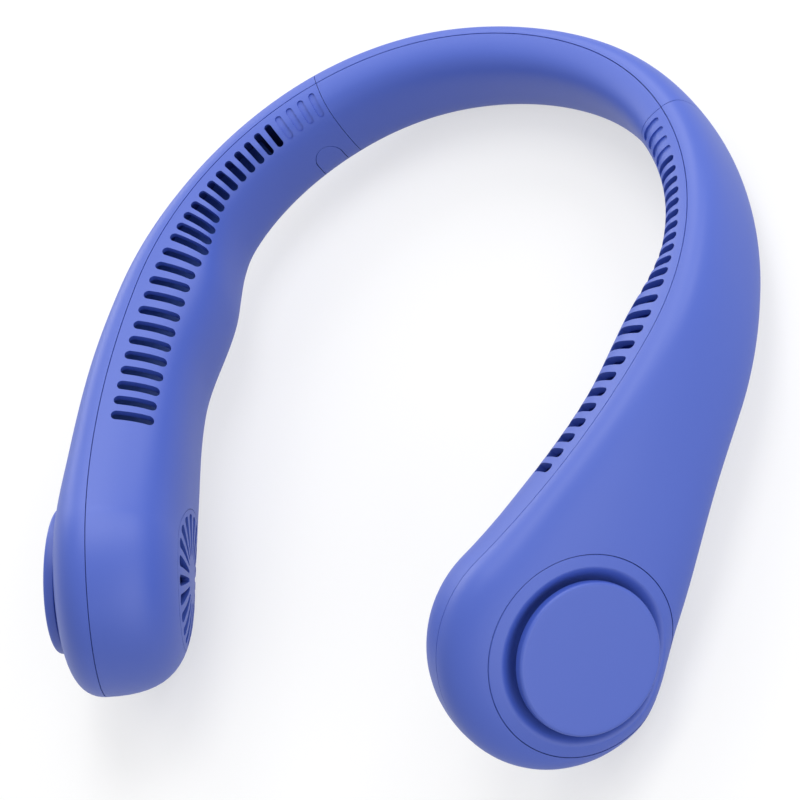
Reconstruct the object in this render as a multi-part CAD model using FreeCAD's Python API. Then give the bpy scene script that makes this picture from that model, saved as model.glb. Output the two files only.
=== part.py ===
import FreeCAD, Part

import math
import os

from FreeCAD import Matrix, Placement, Rotation, Vector

# Ridge of the housing seen from above: tangent arcs from the back of the neck to the fan end
neck_radius = 89.5
neck_angle = 13.5
shoulder_radius = 74.0
shoulder_angle = 82.5
arm_radius = 194.0
arm_angle = 20.0

# Seam between the neck piece and each arm, measured along the ridge from the back of the neck
seam_from_back = 56.9

# Stations of the housing, measured back along the ridge from the fan end's section
waist_from_fan = 98.0
belly_from_fan = 74.5
forearm_from_fan = 49.5
throat_from_fan = 22.0

# Height of the housing's section at each station
back_height = 24.2
seam_height = 24.3
waist_height = 28.0
belly_height = 32.1
forearm_height = 37.0
throat_height = 48.8
fan_height = 58.5

# Depth of the section from the ridge to the outer face
back_outer = 4.5
seam_outer = 6.6
waist_outer = 6.6
belly_outer = 7.7
forearm_outer = 8.2
throat_outer = 9.0
fan_outer = 10.8

# Depth of the section from the ridge to the face beside the neck
back_inner = 9.6
seam_inner = 9.3
waist_inner = 10.8
belly_inner = 18.1
forearm_inner = 18.6
throat_inner = 21.5
fan_inner = 22.4

# Lean of the section in degrees: its foot stands further out than its ridge
back_lean = 5.3
seam_lean = 3.8
waist_lean = 8.3
belly_lean = 10.7
forearm_lean = 16.8
throat_lean = 20.4
fan_lean = 22.2

# Fullness of the section's curves: 0.55 is an ellipse, 1.0 a rectangle
outer_fullness = 0.72
inner_fullness = 0.72
strip_fullness = 0.80

# Straight facets: in a quarter of the outline, in a quarter of the inside, round a fan end's half turn
outline_facet_count = 4
hollow_facet_count = 3
end_facet_count = 10
arm_span_count = 9
neck_span_count = 6
slot_end_facet_count = 2
disc_side_count = 26

# Moulded shells
wall = 1.8
parting_gap = 0.10
parting_groove = 0.30
parting_groove_depth = 0.55
seam_gap = 0.30
seat_clearance = 0.15

# Air slots along the top strip of each inner shell
first_slot_from_fan = 28.3
wide_slot_count = 13
wide_pitch = 4.55
narrow_pitch = 3.54
blind_slot_count = 4
slot_from_ridge = 3.4
slot_from_ridge_at_seam = 2.1
slot_length = 10.8
slot_length_at_seam = 6.8
slot_shortening_count = 5
slot_width = 2.6
slot_width_at_seam = 1.7
blind_slot_depth = 0.7
slot_to_seam = 2.3

# Fan axis, set back and down from the middle of the round end and tipped to face the outer side
fan_setback = 1.8
fan_drop = 3.15
fan_turn = 5.5
fan_dip = 3.2

# Intake cover, a dished ring flush with the outer shell
cover_radius = 24.1
cover_clearance = 0.15
cover_depth = 7.4
cover_rim = 1.6
cover_plate = 1.8
throat_radius = 12.5
throat_lip = 1.6
throat_lip_wall = 1.2
cover_hub_radius = 5.6
cover_hub_height = 3.0
cover_spoke_count = 4
cover_spoke_width = 2.4
ledge_width = 2.2
ledge_thickness = 1.5

# Intake cap, the raised disc in front of the cover
cap_radius = 18.2
cap_thickness = 2.7
cap_proud_height = 0.3
cap_edge_chamfer = 0.8
cap_stem_radius = 3.8
cap_stem_clearance = 0.05
stem_side_count = 12

# Round grille on the face beside the neck
grille_radius = 17.4
grille_clearance = 0.15
grille_thickness = 1.8
grille_slot_count = 20
grille_slot_shoulder = 0.8
grille_slot_inner = 6.2
grille_slot_outer = 16.2
grille_slot_narrow = 0.8
grille_slot_wide = 2.9
grille_boss_radius = 5.2
grille_boss_height = 1.3

# Fan wheel, fed from both sides
wheel_radius = 17.0
wheel_blade_count = 11
blade_chord = 4.6
blade_thickness = 0.8
blade_sweep = 24.0
blade_bulge = 0.9
wheel_running_gap = 0.6
wheel_plate = 1.0
upper_blade_height = 7.6
lower_blade_height = 6.4
wheel_ring_width = 1.4
wheel_ring_height = 1.0
hub_wall = 1.1
hub_crown = 1.2

# Outer-rotor motor under the wheel
bell_radius = 8.0
bell_wall = 0.7
bell_crown = 1.0
bell_skirt = 7.0
magnet_wall = 0.9
magnet_height = 5.2
air_gap = 0.35
stator_height = 4.0
stator_tooth_count = 6
stator_tooth_width = 1.3
stator_shoe_angle = 42.0
stator_yoke = 1.1
shaft_radius = 1.0
shaft_clearance = 0.03
bearing_wall = 1.6
fit_clearance = 0.05
motor_flange_radius = 6.4
motor_flange = 1.2

# Scroll that leads the air from the wheel into the arm
scroll_gap = 1.2
scroll_growth = 4.0
scroll_wall = 1.2
scroll_sweep = 250.0
scroll_start = 55.0
scroll_facet_count = 14

# Floor of the air duct in each arm
duct_floor = 1.2
duct_floor_above_middle = 2.4
duct_from_fan = 30.0
duct_to_seam = 20.0
duct_clearance = 0.4

# Battery cell in each arm, below the duct floor
cell_radius = 7.0
cell_length = 49.0
cell_cap_radius = 2.8
cell_cap = 1.0
cell_side_count = 16
cell_from_fan = 30.0
cell_inward = 5.0
cell_below_middle = 5.6
cradle_thickness = 1.8
cradle_inset = 10.0

# Sleeve that joins each arm to the neck piece, and the lead that runs through both
sleeve_wall = 1.3
sleeve_in_neck = 9.0
sleeve_in_arm = 3.0
lead_radius = 1.5
lead_inward = 3.4
lead_end_past_seam = 3.5
lead_span_count = 6
lead_side_count = 8
clip_thickness = 1.6
clip_height = 7.0
clip_spacing = 34.0
lead_clearance = 0.1

# Power button on the left arm, flush with the shell's lower inner face
button_from_seam = 8.2
button_width = 7.0
button_length = 12.6
button_pitch = 40.0
button_inward = 5.0
button_below_middle = 4.0
button_gap = 0.25
button_flange = 0.8
button_flange_thickness = 0.9
button_travel = 0.5
button_stop_gap = 0.1
button_post_radius = 1.2
button_post_length = 0.8
switch_side = 4.4
switch_height = 1.8
switch_stem_radius = 0.9
switch_stem_height = 0.6
control_board = 1.0
control_board_length = 14.0
control_board_width = 8.0
control_board_towards_fan = 3.4

# Charging socket under the left arm
port_from_seam = 26.5
port_inward = 3.4
port_width = 8.94
port_height = 3.26
port_depth = 7.3
port_shell = 0.3
port_tongue = 0.7
port_clearance = 0.15
port_recess = 0.4
port_board = 1.0
port_board_width = 11.0

# Reach of cutting tools past the faces that they cut
over = 2.0

ridge_arcs = [
    (neck_radius, math.radians(neck_angle)),
    (shoulder_radius, math.radians(shoulder_angle)),
    (arm_radius, math.radians(arm_angle)),
]
fan_at = sum(radius * angle for radius, angle in ridge_arcs)
seam_at = seam_from_back
arm_length = fan_at - seam_at

station_places = [
    0.0,
    seam_at,
    fan_at - waist_from_fan,
    fan_at - belly_from_fan,
    fan_at - forearm_from_fan,
    fan_at - throat_from_fan,
    fan_at,
]
heights = [back_height, seam_height, waist_height, belly_height, forearm_height, throat_height, fan_height]
outers = [back_outer, seam_outer, waist_outer, belly_outer, forearm_outer, throat_outer, fan_outer]
inners = [back_inner, seam_inner, waist_inner, belly_inner, forearm_inner, throat_inner, fan_inner]
leans = [back_lean, seam_lean, waist_lean, belly_lean, forearm_lean, throat_lean, fan_lean]

OUTER = 1
INNER = -1
UP = Vector(0, 0, 1)
ORIGIN = Vector(0, 0, 0)
ACROSS = Vector(1, 0, 0)


def blended(values, along):
    """Smooth value at a place along the ridge: level at both ends, even slopes at the stations."""
    places = station_places
    slopes = [0.0] * len(values)
    for k in range(1, len(values) - 1):
        slopes[k] = (values[k + 1] - values[k - 1]) / (places[k + 1] - places[k - 1])
    k = 0
    while k < len(values) - 2 and along > places[k + 1]:
        k += 1
    span = places[k + 1] - places[k]
    t = min(max((along - places[k]) / span, 0.0), 1.0)
    rise = t * t * (3.0 - 2.0 * t)
    bend = t * (1.0 - t) * span * (slopes[k] * (1.0 - t) - slopes[k + 1] * t)
    return values[k] * (1.0 - rise) + values[k + 1] * rise + bend


def ridge(along):
    """Point of the ridge at a distance from the back of the neck, and the way outward from it."""
    centre = Vector(0, 0, 0)
    turned = 0.0
    left = along
    for k, (radius, angle) in enumerate(ridge_arcs):
        last = k == len(ridge_arcs) - 1
        if last or left <= radius * angle:
            turned += left / radius
            outward = Vector(math.sin(turned), math.cos(turned), 0)
            return centre + outward * radius, outward
        turned += angle
        left -= radius * angle
        outward = Vector(math.sin(turned), math.cos(turned), 0)
        centre = centre + outward * (radius - ridge_arcs[k + 1][0])


class Section:
    """Cross-section of the housing; a place before the back of the neck gives the left side."""

    def __init__(self, along):
        place = abs(along)
        self.height = blended(heights, place)
        self.outer = blended(outers, place)
        self.inner = blended(inners, place)
        lean = math.radians(blended(leans, place))
        top, outward = ridge(place)
        self.out = outward * math.cos(lean) + UP * math.sin(lean)
        self.up = UP * math.cos(lean) - outward * math.sin(lean)
        self.centre = top - self.up * (self.height / 2)
        if along < 0:
            self.out = Vector(-self.out.x, self.out.y, self.out.z)
            self.up = Vector(-self.up.x, self.up.y, self.up.z)
            self.centre = Vector(-self.centre.x, self.centre.y, self.centre.z)
        self.ahead = self.out.cross(self.up)

    def at(self, out, up, ahead=0.0):
        """Point from distances outward, upward and ahead of the section's middle."""
        return self.centre + self.out * out + self.up * up + self.ahead * ahead

    def poles(self, side, top, inset, start=0.0):
        """Control points of one quarter of the outline, from the ridge or foot to mid-height."""
        depth = (self.outer if side == OUTER else self.inner) - inset
        half = (self.height / 2 - inset) * top
        flank = outer_fullness if side == OUTER else inner_fullness
        crown = outer_fullness if side == OUTER else strip_fullness
        face = side * depth
        return [(side * start, half), (face * crown, half), (face, half * flank), (face, 0)]

    def quarter(self, side, top, inset, facets, start=0.0):
        """Flat points of one quarter of the outline, from the ridge or foot to mid-height."""
        curve = Part.BezierCurve()
        curve.setPoles([Vector(x, y, 0) for x, y in self.poles(side, top, inset, start)])
        return [curve.value(k / facets) for k in range(facets + 1)]

    def raised(self, flat_points):
        """Flat points laid on the section."""
        return [self.at(p.x, p.y) for p in flat_points]

    def point_from_ridge(self, distance):
        """Point and outward normal on the top strip at a distance from the ridge."""
        curve = Part.BezierCurve()
        curve.setPoles([self.at(x, y) for x, y in self.poles(INNER, 1, 0.0)])
        place = curve.parameterAtDistance(distance, 0.0)
        along = curve.tangent(place)[0]
        return curve.value(place), along, self.ahead.cross(along) * -1

    def half_outline(self, side):
        """Corners of the outer or the inner half, split at the ridge and the foot."""
        upper = self.quarter(side, 1, 0.0, outline_facet_count, parting_gap / 2)
        lower = self.quarter(side, -1, 0.0, outline_facet_count, parting_gap / 2)
        return self.raised(upper + lower[-2::-1])

    def ring_outline(self, inset):
        """Corners of the whole section, drawn in by the inset."""
        upper, lower, lower_inner, upper_inner = [
            self.quarter(side, top, inset, hollow_facet_count)
            for side, top in [(OUTER, 1), (OUTER, -1), (INNER, -1), (INNER, 1)]
        ]
        return self.raised(upper + lower[-2::-1] + lower_inner[1:] + upper_inner[-2:0:-1])

    def placement(self, out=0.0, up=0.0):
        """Frame on the section with X ahead, Y down and Z outward."""
        return frame(self.at(out, up), self.ahead, self.up * -1, self.out)


def frame(origin, x, y, z):
    """Placement with the given origin and axes."""
    return Placement(
        Matrix(x.x, y.x, z.x, origin.x, x.y, y.y, z.y, origin.y, x.z, y.z, z.z, origin.z, 0, 0, 0, 1)
    )


def placed(shape, placement):
    """Copy of a shape moved into a frame."""
    moved = shape.copy()
    moved.Placement = placement.multiply(moved.Placement)
    return moved


def spread(start, end, count):
    """Evenly spaced places from start to end."""
    return [start + (end - start) * k / (count - 1) for k in range(count)]


def run_places(start, end, first_span, spans):
    """Places for the sections of a run: a first span of its own, then even ones."""
    return [start] + spread(start + first_span, end, spans + 1)


def fused(shapes):
    """One solid from overlapping or touching shapes."""
    return shapes[0].fuse(shapes[1:]).removeSplitter()


def cylinder(radius, low, high):
    """Round bar along the local Z axis between two heights."""
    return Part.makeCylinder(radius, high - low, Vector(0, 0, low))


def round_end(middle, radius, height):
    """Points of a half-round end about a middle on local Y, from +X over +Y to -X."""
    points = []
    for angle in spread(0.0, math.pi, slot_end_facet_count + 1):
        points.append(Vector(radius * math.cos(angle), middle + radius * math.sin(angle), height))
    return points


def stadium(length, width, low, high):
    """Round-ended bar along local Y, standing between two heights."""
    radius = width / 2
    points = round_end(length / 2 - radius, radius, low)
    points += [Vector(-p.x, -p.y, p.z) for p in points]
    return flat(points).extrude(Vector(0, 0, high - low))


def flat(points):
    """Flat face inside a closed row of corners."""
    return Part.Face(Part.makePolygon(points + points[:1]))


def skinned(outlines, twisted=True):
    """Solid with flat facets between matching outlines, closed by a flat face at each end."""
    faces = [flat(outlines[0]), flat(outlines[-1])]
    for near, far in zip(outlines, outlines[1:]):
        for k in range(len(near)):
            if twisted:
                faces.append(flat([near[k - 1], near[k], far[k - 1]]))
                faces.append(flat([near[k], far[k], far[k - 1]]))
            else:
                faces.append(flat([near[k - 1], near[k], far[k], far[k - 1]]))
    skin = Part.makeCompound(faces)
    skin.sewShape()
    solid = Part.makeSolid(skin.Shells[0])
    return solid if solid.Volume > 0 else solid.reversed()


def spiral_point(angle, radius, height):
    """Point at an angle and radius round the local Z axis."""
    return Vector(radius * math.cos(angle), radius * math.sin(angle), height)


def stack(levels, sides=disc_side_count):
    """Many-sided solid along the local Z axis through (radius, height) levels."""
    rings = []
    for radius, height in levels:
        rings.append([spiral_point(2 * math.pi * k / sides, radius, height) for k in range(sides)])
    return skinned(rings, twisted=False)


def disc(radius, low, high, sides=disc_side_count):
    """Many-sided disc between two heights."""
    return stack([(radius, low), (radius, high)], sides)


def ring(outer, inner, low, high, sides=disc_side_count):
    """Many-sided ring between two heights."""
    return disc(outer, low, high, sides).cut(disc(inner, low - over, high + over, sides))


def polar(shape, count):
    """Copies of a shape evenly spaced round the local Z axis."""
    copies = []
    for k in range(count):
        turned = shape.copy()
        turned.rotate(ORIGIN, UP, 360.0 * k / count)
        copies.append(turned)
    return copies


fan_section = Section(fan_at)
arm_start = seam_at + seam_gap / 2
neck_end = seam_at - seam_gap / 2
arm_places = run_places(arm_start, fan_at, sleeve_in_arm + seam_gap, arm_span_count)
neck_right = run_places(-neck_end, 0.0, sleeve_in_neck + seam_gap, neck_span_count // 2)
neck_places = neck_right + [-place for place in neck_right[-2::-1]]
past_seam = [seam_at - over]
past_both = [-seam_at - over] + neck_places + [seam_at + over]


def half_disc(radius, out):
    """Corners of half a many-sided disc ahead of the fan end's section, at a depth."""
    points = []
    for angle in spread(0.0, math.pi, end_facet_count + 1):
        points.append(fan_section.at(out, radius * math.cos(angle), radius * math.sin(angle)))
    return points


def round_end_half(side, inset, facets, start=0.0):
    """Round end of one half, stacked from half discs that follow the section's outline."""
    outline = fan_section.quarter(side, 1, inset, facets, start)
    return skinned([half_disc(point.y, point.x) for point in outline[:-1]])


def arm_half(side):
    """One half of the arm as a solid: a run along the ridge closed by its round end."""
    run = skinned([Section(place).half_outline(side) for place in arm_places])
    return fused([run, round_end_half(side, 0.0, outline_facet_count, parting_gap / 2)])


def arm_hollow(inset):
    """Inside of the arm, drawn in from the outer surface and open at the seam."""
    run = skinned([Section(place).ring_outline(inset) for place in past_seam + arm_places])
    return fused([run] + [round_end_half(side, inset, hollow_facet_count) for side in (OUTER, INNER)])


def neck_half(side):
    """One half of the neck piece as a solid."""
    return skinned([Section(place).half_outline(side) for place in neck_places])


def neck_hollow(inset):
    """Inside of the neck piece, drawn in from the outer surface and open at both ends."""
    return skinned([Section(place).ring_outline(inset) for place in past_both])


def groove_outline(half, top):
    """Flat points of the fine groove outside the parting gap, at the ridge or the foot."""
    groove = parting_groove / 2
    low = (half - parting_groove_depth) * top
    high = (half + over) * top
    return [Vector(x, y, 0) for x, y in [(groove, low), (groove, high), (-groove, high), (-groove, low)]]


def run_groove(places, top):
    """Fine groove along one run of the parting line."""
    sections = [Section(place) for place in places]
    return skinned([s.raised(groove_outline(s.height / 2, top)) for s in sections])


def end_groove():
    """Fine groove round the fan end."""
    outline = groove_outline(fan_section.height / 2, 1)
    spokes = []
    for angle in spread(0.0, math.pi, end_facet_count + 1):
        cos, sin = math.cos(angle), math.sin(angle)
        spokes.append([fan_section.at(p.x, p.y * cos, p.y * sin) for p in outline])
    return skinned(spokes)


def fan_frame():
    """Frame of the fan: Z along its axis towards the outer side, X ahead, at the ridge's depth."""
    base = fan_section.placement()
    middle = base.multVec(Vector(-fan_setback, fan_drop, 0))
    tip = Rotation(Vector(1, 0, 0), -fan_dip).multiply(Rotation(Vector(0, 1, 0), -fan_turn))
    return Placement(middle, base.Rotation.multiply(tip))


FAN = fan_frame()

# Heights along the fan axis, from the ridge's depth; positive towards the outer side
cover_seat = fan_outer - cover_depth
cover_top = cover_seat + cover_plate
dish_rise = fan_outer - cover_top
cap_under = fan_outer + cap_proud_height - cap_thickness
cap_top = fan_outer + cap_proud_height
wheel_top = cover_seat - throat_lip - wheel_running_gap
plate_top = wheel_top - upper_blade_height
plate_under = plate_top - wheel_plate
wheel_under = plate_under - lower_blade_height
bell_top = plate_top - hub_crown
bell_under = bell_top - bell_skirt
grille_back = fan_section.quarter(INNER, 1, grille_thickness, hollow_facet_count)[-2].x
motor_seat = grille_back + grille_boss_height
flange_top = motor_seat + motor_flange
magnet_top = bell_top - bell_crown
magnet_bore = bell_radius - bell_wall - magnet_wall
stator_radius = magnet_bore - air_gap
tube_radius = shaft_radius + shaft_clearance + bearing_wall
stator_under = magnet_top - (magnet_height + stator_height) / 2
tube_top = stator_under + stator_height


def slot_places():
    """Distances of the slots from the fan end's section, along the ridge."""
    wide = [first_slot_from_fan + k * wide_pitch for k in range(wide_slot_count)]
    room = arm_length - slot_to_seam - wide[-1]
    count = int(room / narrow_pitch)
    return wide + [wide[-1] + (k + 1) * narrow_pitch for k in range(count)]


def air_slots():
    """Cutters for the open slots and for the shallow ones beside the seam."""
    cutters = []
    places = slot_places()
    for k, place in enumerate(places):
        share = k / (len(places) - 1)
        shortened = min(max((k + 1 - wide_slot_count) / slot_shortening_count, 0.0), 1.0)
        length = slot_length + (slot_length_at_seam - slot_length) * shortened
        width = slot_width + (slot_width_at_seam - slot_width) * share
        from_ridge = slot_from_ridge + (slot_from_ridge_at_seam - slot_from_ridge) * share
        section = Section(fan_at - place)
        middle, along, outward = section.point_from_ridge(from_ridge + length / 2)
        open_slot = k < len(places) - blind_slot_count
        depth = wall + over if open_slot else blind_slot_depth
        bar = stadium(length, width, -depth, over)
        cutters.append(placed(bar, frame(middle, along.cross(outward), along, outward)))
    return cutters


def in_fan(shape):
    """Shape of the fan module moved to its place in the right arm."""
    return placed(shape, FAN)


def cradle(hollow_in_wall, place, cell):
    """Cross rib of the inner shell that carries the battery cell."""
    section = Section(fan_at - place)
    width = section.inner
    slab = Part.makeBox(cradle_thickness, section.height, width, Vector(-cradle_thickness / 2, 0, -width))
    foot = placed(slab, section.placement(-parting_groove, -cell_below_middle))
    return hollow_in_wall.common(foot).cut(cell)


def cell_ends():
    """Middle points of the two ends of the battery cell."""
    far = Section(fan_at - cell_from_fan - cell_length)
    near = Section(fan_at - cell_from_fan)
    start = far.at(-cell_inward, -cell_below_middle)
    way = near.at(-cell_inward, -cell_below_middle) - start
    return start, way.normalize()


def cell_room(extra):
    """Room that the cell needs between the ribs."""
    start, way = cell_ends()
    bar = disc(cell_radius + extra, 0.0, cell_length, cell_side_count)
    return placed(bar, Placement(start, Rotation(UP, way)))


def battery_cell():
    """Cell with its raised positive cap."""
    start, way = cell_ends()
    can = disc(cell_radius, 0.0, cell_length - cell_cap, cell_side_count)
    cap = disc(cell_cap_radius, cell_length - cell_cap * 2, cell_length, cell_side_count)
    return placed(fused([can, cap]), Placement(start, Rotation(UP, way)))


class Arm:
    """Solids that several pieces of one arm are cut from, on the right-hand side."""

    def __init__(self):
        self.outer = arm_half(OUTER)
        self.inner = arm_half(INNER)
        self.hollow = arm_hollow(wall)
        self.hollow_in_wall = arm_hollow(wall / 2)
        grooves = [run_groove(past_seam + arm_places, top) for top in (1, -1)]
        self.groove = grooves + [end_groove()]

    def outer_shell(self):
        """Outer half of the arm with the seat for the intake cover."""
        hole = in_fan(disc(cover_radius + cover_clearance, cover_seat, fan_outer + over * 4))
        ledge_inner = cover_radius - ledge_width
        ledge = in_fan(ring(fan_height / 2, ledge_inner, cover_seat - ledge_thickness, cover_seat))
        shell = self.outer.cut(self.hollow).fuse(self.outer.common(ledge))
        return shell.cut([hole] + self.groove).removeSplitter()

    def inner_shell(self):
        """Inner half of the arm with its air slots, grille hole and battery cradles."""
        hole = in_fan(disc(grille_radius + grille_clearance, -fan_inner - over * 4, -fan_inner / 2))
        room = cell_room(seat_clearance)
        places = [cell_from_fan + cradle_inset, cell_from_fan + cell_length - cradle_inset]
        ribs = [cradle(self.hollow_in_wall, place, room) for place in places]
        shell = self.inner.cut(self.hollow).fuse(ribs)
        return shell.cut([hole] + self.groove + air_slots()).removeSplitter()

    def intake_cover(self):
        """Dished ring flush with the outer shell, with a spoked hub over the air inlet."""
        high = fan_outer + over * 5
        blank = self.outer.common(in_fan(disc(cover_radius, cover_seat, high)))
        dish_radius = cover_radius - cover_rim
        floor_radius = throat_radius + throat_lip_wall
        dish = stack(
            [
                (floor_radius, cover_top),
                ((floor_radius + dish_radius) / 2, cover_top + dish_rise * 0.2),
                (dish_radius, cover_top + dish_rise * 0.65),
                (dish_radius, high),
            ]
        )
        throat = disc(throat_radius, cover_seat - over, high)
        annulus = blank.cut([in_fan(dish), in_fan(throat)])
        lip = ring(floor_radius, throat_radius, cover_seat - throat_lip, cover_top)
        hub = disc(cover_hub_radius, cover_seat, cover_seat + cover_hub_height)
        reach = throat_radius + throat_lip_wall / 2
        corner = Vector(0, -cover_spoke_width / 2, cover_seat)
        bar = Part.makeBox(reach, cover_spoke_width, cover_plate, corner)
        spider = fused([lip, hub] + polar(bar, cover_spoke_count))
        bore = disc(cap_stem_radius + cap_stem_clearance, cover_seat - over, high, stem_side_count)
        return fused([annulus, in_fan(spider.cut(bore))])

    def inner_grille(self):
        """Round grille flush with the inner shell, with a boss that carries the motor."""
        blank = self.inner.common(in_fan(disc(grille_radius, -fan_inner - over * 4, -fan_inner / 2)))
        face = blank.cut(arm_hollow(grille_thickness))
        slots = [in_fan(slot) for slot in polar(grille_slot(), grille_slot_count)]
        boss = in_fan(disc(grille_boss_radius, grille_back - grille_thickness / 2, motor_seat))
        return face.cut(slots).fuse(boss).removeSplitter()

    def duct_floor(self):
        """Plate between the air duct and the battery bay."""
        start = seam_at + duct_to_seam
        end = fan_at - duct_from_fan
        plate = skinned([floor_outline(Section(place)) for place in spread(start, end, arm_span_count)])
        return plate.common(arm_hollow(wall + duct_clearance))

    def fan_scroll(self):
        """Spiral wall round the fan wheel, open towards the arm's duct."""
        low = -fan_inner
        high = cover_seat - ledge_thickness - seat_clearance
        strip = flat(scroll_outline(low)).extrude(Vector(0, 0, high - low))
        return in_fan(strip).common(arm_hollow(wall + duct_clearance))


def floor_outline(section):
    """Corners of the duct floor's cross-section."""
    low = duct_floor_above_middle - duct_floor / 2
    high = duct_floor_above_middle + duct_floor / 2
    corners = [(-section.inner, low), (section.outer, low), (section.outer, high), (-section.inner, high)]
    return section.raised([Vector(x, y, 0) for x, y in corners])


def scroll_outline(height):
    """Corners of the spiral wall, out along its inner face and back along its outer face."""
    faces = []
    for extra in (0.0, scroll_wall):
        points = []
        for share in spread(0.0, 1.0, scroll_facet_count + 1):
            angle = math.radians(scroll_start + scroll_sweep * share)
            radius = wheel_radius + scroll_gap + scroll_growth * share + extra
            points.append(spiral_point(angle, radius, height))
        faces.append(points)
    return faces[0] + faces[1][::-1]


def grille_slot():
    """Tapered radial slot between two radii."""
    low = -fan_inner - over * 2
    narrow = grille_slot_narrow / 2
    wide = grille_slot_wide / 2
    upper = [Vector(grille_slot_inner, narrow, low)]
    upper.append(Vector(grille_slot_outer - grille_slot_shoulder, wide, low))
    upper.append(Vector(grille_slot_outer, wide - grille_slot_shoulder, low))
    points = upper + [Vector(p.x, -p.y, p.z) for p in reversed(upper)]
    return flat(points).extrude(Vector(0, 0, grille_thickness + over * 3))


def intake_cap():
    """Raised round disc with a broken edge and a stem for the cover's hub."""
    stem = disc(cap_stem_radius, cover_seat + seat_clearance, cap_under + cap_thickness / 2, stem_side_count)
    edge = cap_top - cap_edge_chamfer
    plate = stack([(cap_radius, cap_under), (cap_radius, edge), (cap_radius - cap_edge_chamfer, cap_top)])
    return fused([plate, stem])


def blade():
    """One curved blade of the fan wheel, standing the wheel's full height."""
    tip_radius = wheel_radius - wheel_ring_width * 0.2
    tip = spiral_point(0.0, tip_radius, wheel_under)
    root = spiral_point(math.radians(blade_sweep), tip_radius - blade_chord, wheel_under)
    across = (root - tip).cross(UP).normalize()
    middle = (tip + root) * 0.5 + across * blade_bulge
    front = [tip, middle, root]
    back = [point - across * blade_thickness for point in reversed(front)]
    return flat(front + back).extrude(Vector(0, 0, wheel_top - wheel_under))


def fan_wheel():
    """Double-sided wheel: a middle plate, a crown of curved blades and an end ring."""
    sides = wheel_blade_count * 2
    hub_radius = bell_radius + fit_clearance + hub_wall
    ring_inner = wheel_radius - wheel_ring_width
    plate = ring(wheel_radius, hub_radius - hub_wall / 2, plate_under, plate_top, sides)
    end_ring = ring(wheel_radius, ring_inner, wheel_top - wheel_ring_height, wheel_top, sides)
    hub = disc(hub_radius, bell_under, plate_top, sides)
    wheel = fused([plate, hub, end_ring] + polar(blade(), wheel_blade_count))
    room = disc(bell_radius + fit_clearance, bell_under - over, bell_top, sides)
    bore = cylinder(shaft_radius + fit_clearance / 2, bell_under, plate_top + over)
    return wheel.cut([room, bore])


def rotor_bell():
    """Steel cup of the outer-rotor motor with its ring magnet."""
    sides = wheel_blade_count * 2
    magnet_under = magnet_top - magnet_height
    cup = disc(bell_radius, bell_under, bell_top, sides)
    skirt_room = disc(bell_radius - bell_wall, bell_under - over, magnet_under, sides)
    magnet_room = disc(magnet_bore, bell_under, magnet_top, sides)
    bore = cylinder(shaft_radius + fit_clearance / 2, bell_under, bell_top + over)
    return cup.cut([skirt_room, magnet_room, bore])


def motor_shaft():
    """Shaft pressed into the bell and running in the base's tube."""
    return cylinder(shaft_radius, motor_seat + 2 * seat_clearance, plate_top)


def motor_base():
    """Flange on the grille's boss with the plain-bearing tube that carries the stator."""
    flange = disc(motor_flange_radius, motor_seat, flange_top, stator_tooth_count * 3)
    post = disc(tube_radius, motor_seat, tube_top, stator_tooth_count * 2)
    bore = cylinder(shaft_radius + shaft_clearance, motor_seat - over, tube_top + over)
    return fused([flange, post]).cut(bore)


def motor_stator():
    """Laminated star with T-shaped teeth."""
    bore = tube_radius + fit_clearance
    top = stator_under + stator_height
    yoke = disc(bore + stator_yoke, stator_under, top, stator_tooth_count * 2)
    half = stator_tooth_width / 2
    shoe = math.radians(stator_shoe_angle / 2)
    outer = [spiral_point(shoe, radius, stator_under) for radius in (stator_radius, stator_radius - half)]
    neck = [Vector(stator_radius - stator_tooth_width, half, stator_under), Vector(bore, half, stator_under)]
    upper = outer + neck
    points = upper + [Vector(p.x, -p.y, p.z) for p in reversed(upper)]
    tooth = flat(points).extrude(Vector(0, 0, stator_height))
    star = fused([yoke] + polar(tooth, stator_tooth_count))
    return star.cut(disc(bore, stator_under - over, top + over, stator_tooth_count * 2))


def joint_sleeve():
    """Hollow spigot inside the seam between the arm and the neck piece."""
    outside = wall + seat_clearance
    ends = [seam_at - sleeve_in_neck, seam_at, seam_at + sleeve_in_arm]
    shell = skinned([Section(place).ring_outline(outside) for place in ends])
    longer = [ends[0] - over, seam_at, ends[2] + over]
    return shell.cut(skinned([Section(place).ring_outline(outside + sleeve_wall) for place in longer]))


def cross_lead(extra=0.0):
    """Lead from one arm to the other through the neck, or the room that it needs."""
    end = seam_at + lead_end_past_seam
    points = [Section(place).at(-lead_inward, 0) for place in spread(-end, end, lead_span_count + 1)]
    place = Placement(points[0], Rotation(UP, points[1] - points[0]))
    step = 2 * math.pi / lead_side_count
    corners = [spiral_point(step * k, lead_radius + extra, 0) for k in range(lead_side_count)]
    outline = Part.makePolygon([place.multVec(corner) for corner in corners + corners[:1]])
    right_corners = 1
    return Part.makePolygon(points).makePipeShell([outline], True, False, right_corners)


def neck_shells():
    """Outer and inner halves of the neck piece; the inner one has clips for the lead."""
    hollow = neck_hollow(wall)
    grooves = [run_groove(past_both, top) for top in (1, -1)]
    outer = neck_half(OUTER).cut([hollow] + grooves)
    in_wall = neck_hollow(wall / 2)
    room = cross_lead(lead_clearance)
    clips = []
    for place in (-clip_spacing, 0.0, clip_spacing):
        section = Section(place)
        low = Vector(-clip_thickness / 2, -clip_height / 2, -section.inner)
        slab = Part.makeBox(clip_thickness, clip_height, section.inner - parting_groove, low)
        clips.append(in_wall.common(placed(slab, section.placement())).cut(room))
    inner = neck_half(INNER).cut(hollow).fuse(clips).cut(grooves)
    return outer, inner


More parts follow.
